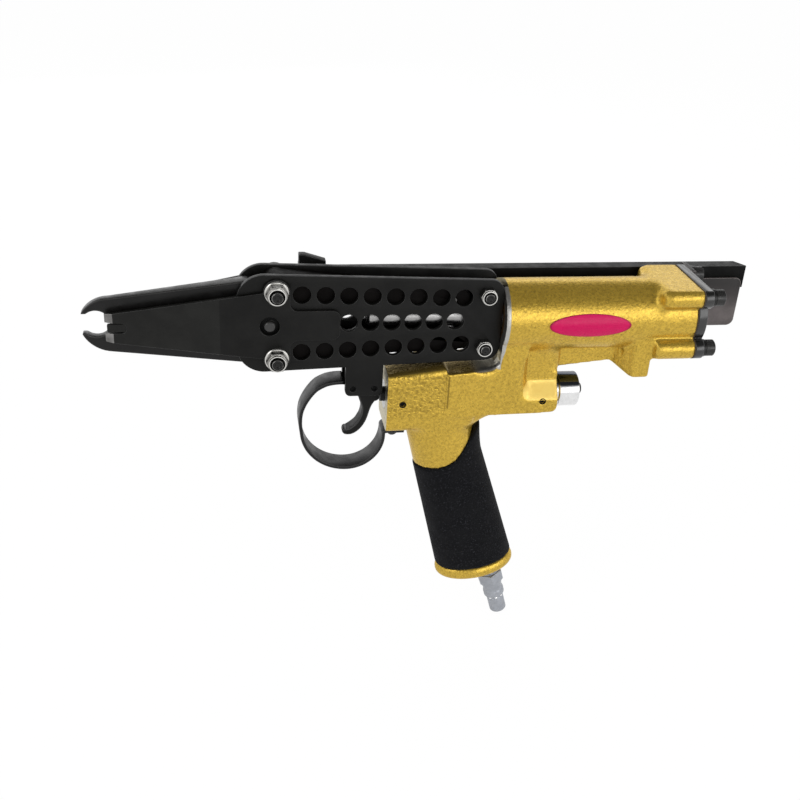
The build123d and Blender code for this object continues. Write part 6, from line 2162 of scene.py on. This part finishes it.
@dataclass
class Handle:
    """The rubber grip on the handle and the air plug below it."""

    voxel_mm: float = 0.65
    edge_rounds: int = 9
    keep_share: float = 0.5
    smooth_deg: float = 60.0
    lean_deg: float = 16.57
    plug_start_mm: float = 54.6
    air_offset_mm: float = 7.0
    sunk_mm: float = 12.0
    free_thread_mm: float = 7.3
    thread_radius_mm: float = 6.5
    thread_ridge_mm: float = 0.4
    thread_pitch_mm: float = 1.3
    groove_at_mm: float = 26.3
    groove_radius_mm: float = 4.55
    ball_mm: float = 0.95
    ball_count: int = 8
    tip_mm: Pair = (109.5, -65.5)
    tip_reach_mm: float = 16.0
    tip_lift_mm: Triple = (2.6, 0.0, 4.2)

    def build(self, ridge: ThreadRidge, balls: RingOfBalls) -> None:
        """Build the grip and the plug.

        Args:
            ridge: The tree for the plug's thread.
            balls: The tree for the plug's balls.
        """
        self.grip()
        self.plug()
        lean = math.radians(self.lean_deg)
        turn = Euler((0.0, math.pi - lean, 0.0))
        thread = ridge.grow(
            "plug_thread",
            Radius=(self.thread_radius_mm - self.thread_ridge_mm) * MM,
            Length=self.free_thread_mm * MM,
            Turns=self.free_thread_mm / self.thread_pitch_mm,
            Ridge=self.thread_ridge_mm * MM,
            At=self.on_plug(0.0),
            Turn=turn,
            Material=PLUG_ZINC.material(),
        )
        mounted(thread, Body.HOUSING)
        ring = balls.grow(
            "plug_balls",
            Count=self.ball_count,
            Radius=self.groove_radius_mm * MM,
            Ball=self.ball_mm * MM,
            At=self.on_plug(self.groove_at_mm),
            Turn=turn,
            Material=PLUG_BALL.material(),
        )
        mounted(ring, Body.HOUSING)

    def plug(self) -> None:
        """Turn the air plug."""
        lean = math.radians(self.lean_deg)
        form = TurnedForm(
            (
                (0.0, 3.2), (0.0, 6.0), (self.free_thread_mm + self.sunk_mm, 6.1), (19.3, 7.0, 14.0),
                (19.8, 8.1, 14.0), (25.8, 8.1, 14.0), (26.3, 7.1, 14.0), (26.3, 6.8), (31.4, 5.6), (32.8, 5.6),
                (34.0, 6.2), (37.1, 6.2), (37.4, 4.6), (39.5, 4.6), (39.8, 5.0), (49.4, 5.0), (50.0, 4.4),
                (50.0, 3.2),
            ),
            hollow=True,
            ease_mm=0.35,
        )
        start = self.on_plug(-self.sunk_mm) / MM + GRIP_CENTRE_MM
        spot = (tuple(start), (math.sin(lean), 0.0, -math.cos(lean)))
        form.stand_for("air_plug", Slot.NICKEL, [spot], PLUG_ZINC)

    def on_plug(self, reach_mm: float) -> Vector:
        """A point on the plug's axis.

        Args:
            reach_mm: Distance below the handle's end.

        Returns:
            The point in the part's frame.
        """
        lean = math.radians(self.lean_deg)
        along = self.plug_start_mm + reach_mm
        x = along * math.sin(lean) + self.air_offset_mm * math.cos(lean)
        z = -along * math.cos(lean) + self.air_offset_mm * math.sin(lean)
        return Vector((x, 0.0, z)) * MM

    def grip(self) -> None:
        """Round the rubber sleeve off, raise its rear tip and dress it."""
        obj = node_copy("grip_sleeve", "rubber_grip")
        even_skin(obj, self.voxel_mm)
        places = vertex_places(obj.data)
        places = relax(places, edge_pairs(obj.data), self.edge_rounds, np.ones(len(places)))
        away = np.hypot(places[:, 0] - self.tip_mm[0], places[:, 2] - self.tip_mm[1])
        places += np.clip(1.0 - away / self.tip_reach_mm, 0.0, 1.0)[:, None] ** 1.5 * np.array(self.tip_lift_mm)
        put_vertices(obj.data, places)
        fewer_faces(obj, self.keep_share)
        smooth_by_angle(obj.data, self.smooth_deg)
        wear(obj.data, RUBBER_GRIP)
        mounted(obj, Body.HOUSING, ["grip_sleeve"])


@dataclass
class OvalLabel:
    """The bare oval label on the barrel."""

    def build(self) -> None:
        """Dress the label."""
        CutPiece("oval_label", Body.HOUSING, Slot.MAGENTA_LABEL, LABEL, LABEL, 0.12).build()


@dataclass
class Softbox:
    """A soft lamp that looks at a point."""

    name: str
    azimuth_deg: float
    elevation_deg: float
    distance_m: float
    size_m: Pair
    watts: float

    def build(self, aim: Vector) -> None:
        """Hang the lamp.

        Args:
            aim: The point that it looks at.
        """
        lamp = bpy.data.lights.new(self.name, "AREA")
        lamp.shape = "RECTANGLE"
        lamp.size, lamp.size_y = self.size_m
        lamp.energy = self.watts
        obj = plain_object(self.name, lamp)
        a, e = math.radians(self.azimuth_deg), math.radians(self.elevation_deg)
        away = Vector((math.sin(a) * math.cos(e), -math.cos(a) * math.cos(e), math.sin(e)))
        obj.location = aim + away * self.distance_m
        obj.rotation_euler = (-away).to_track_quat("-Z", "Y").to_euler()


@dataclass
class Studio:
    """The pale floor, soft light and camera."""

    camera_mm: Triple = (-25.5, -487.2, 213.9)
    azimuth_deg: float = -10.7
    elevation_deg: float = 28.0
    roll_deg: float = 3.34
    lens_mm: float = 46.8
    sensor_mm: float = 36.0
    aim_z_m: float = 0.08
    floor_size_m: float = 12.0
    floor_grey: Colour = (0.80, 0.80, 0.80)
    ambient: float = 0.42
    ceiling: float = 0.16
    dim_z: Pair = (0.52, 0.68)
    floor_glow: float = 0.93
    glow_strength: float = 1.04
    lamps: tuple[Softbox, ...] = field(
        default_factory=lambda: (
            Softbox("front_softbox", 30.0, 14.0, 1.5, (1.6, 0.7), 7.2),
            Softbox("side_softbox", -60.0, 30.0, 1.5, (0.7, 0.9), 3.5),
            Softbox("back_softbox", 170.0, 30.0, 1.6, (1.8, 0.6), 3.0),
            Softbox("far_softbox", 200.0, 8.0, 1.6, (1.6, 0.5), 2.0),
        )
    )

    def build(self) -> None:
        """Set up the whole studio."""
        bpy.context.scene.view_settings.view_transform = "Standard"
        self.world()
        self.floor()
        self.camera()
        for lamp in self.lamps:
            lamp.build(Vector((0.0, 0.0, self.aim_z_m)))

    def camera(self) -> None:
        """Stand the camera where the photograph was taken."""
        data = bpy.data.cameras.new("camera")
        data.lens = self.lens_mm
        data.sensor_width = self.sensor_mm
        data.clip_start = 0.01
        obj = plain_object("camera", data)
        a, e, r = (math.radians(v) for v in (self.azimuth_deg, self.elevation_deg, self.roll_deg))
        ahead = Vector((-math.sin(a) * math.cos(e), math.cos(a) * math.cos(e), -math.sin(e)))
        right = ahead.cross(Vector((0, 0, 1))).normalized()
        up = right.cross(ahead)
        right, up = math.cos(r) * right + math.sin(r) * up, -math.sin(r) * right + math.cos(r) * up
        turn = Matrix((right, up, -ahead)).transposed().to_4x4()
        obj.matrix_world = Matrix.Translation(part_point(*self.camera_mm)) @ turn
        bpy.context.scene.camera = obj

    def world(self) -> None:
        """White to the camera and in reflections, with a darker ceiling, and plain ambient light elsewhere."""
        world = bpy.data.worlds.new("studio")
        bpy.context.scene.world = world
        world.use_nodes = True
        tree = ShadeTree(world.node_tree)
        height = tree.split(tree.place.outputs["Generated"])["Z"]
        dim = tree.remap(height, *self.dim_z, 1.0, self.ceiling)
        path = tree.add("ShaderNodeLightPath").outputs
        shiny = tree.math("MAXIMUM", path["Is Glossy Ray"], path["Is Transmission Ray"])
        seen = tree.blend(shiny, self.ambient, dim)
        light = tree.add("ShaderNodeBackground")
        tree.fill(light.inputs["Color"], WHITE)
        tree.fill(light.inputs["Strength"], tree.blend(path["Is Camera Ray"], seen, 1.0))
        tree.link(light.outputs["Background"], tree.add("ShaderNodeOutputWorld").inputs["Surface"])

    def floor(self) -> None:
        """Lay a pale floor under the lowest point, white to the camera but for a soft shadow."""
        low = CAD_BOX[0].z
        half = self.floor_size_m / 2
        mesh = bpy.data.meshes.new("floor")
        corners = [(-half, -half, low), (half, -half, low), (half, half, low), (-half, half, low)]
        mesh.from_pydata(corners, [], [(0, 1, 2, 3)])
        obj = plain_object("floor", mesh)
        tree = ShaderTree("pale_floor")
        tree.set(Base_Color=self.floor_grey, Roughness=0.9, Specular_IOR_Level=0.1)
        glow = tree.add("ShaderNodeEmission")
        tree.fill(glow.inputs["Color"], WHITE)
        tree.fill(glow.inputs["Strength"], self.glow_strength)
        path = tree.add("ShaderNodeLightPath").outputs
        seen = tree.math("MAXIMUM", path["Is Camera Ray"], path["Is Glossy Ray"])
        seen = tree.math("MAXIMUM", seen, path["Is Transmission Ray"])
        mixer = tree.add("ShaderNodeMixShader")
        tree.link(tree.math("MULTIPLY", seen, self.floor_glow), mixer.inputs["Fac"])
        tree.link(tree.shader.outputs["BSDF"], mixer.inputs[1])
        tree.link(glow.outputs["Emission"], mixer.inputs[2])
        tree.link(mixer.outputs["Shader"], tree.output.inputs["Surface"])
        mesh.materials.append(tree.material)


def main() -> None:
    """Build and dress every sub-assembly, then the studio."""
    logging.basicConfig(level=logging.INFO, format="%(name)s %(message)s")
    ridge, ribs, balls = ThreadRidge(), RingOfRibs(), RingOfBalls()
    Casting().build()
    PlatePack().build(ridge)
    JawPair().build()
    Drive().build()
    RearCap().build(ribs)
    ValveTrain().build()
    TriggerGroup().build()
    Magazine().build()
    Handle().build(ridge, balls)
    OvalLabel().build()
    Studio().build()


if __name__ == "__main__":
    main()
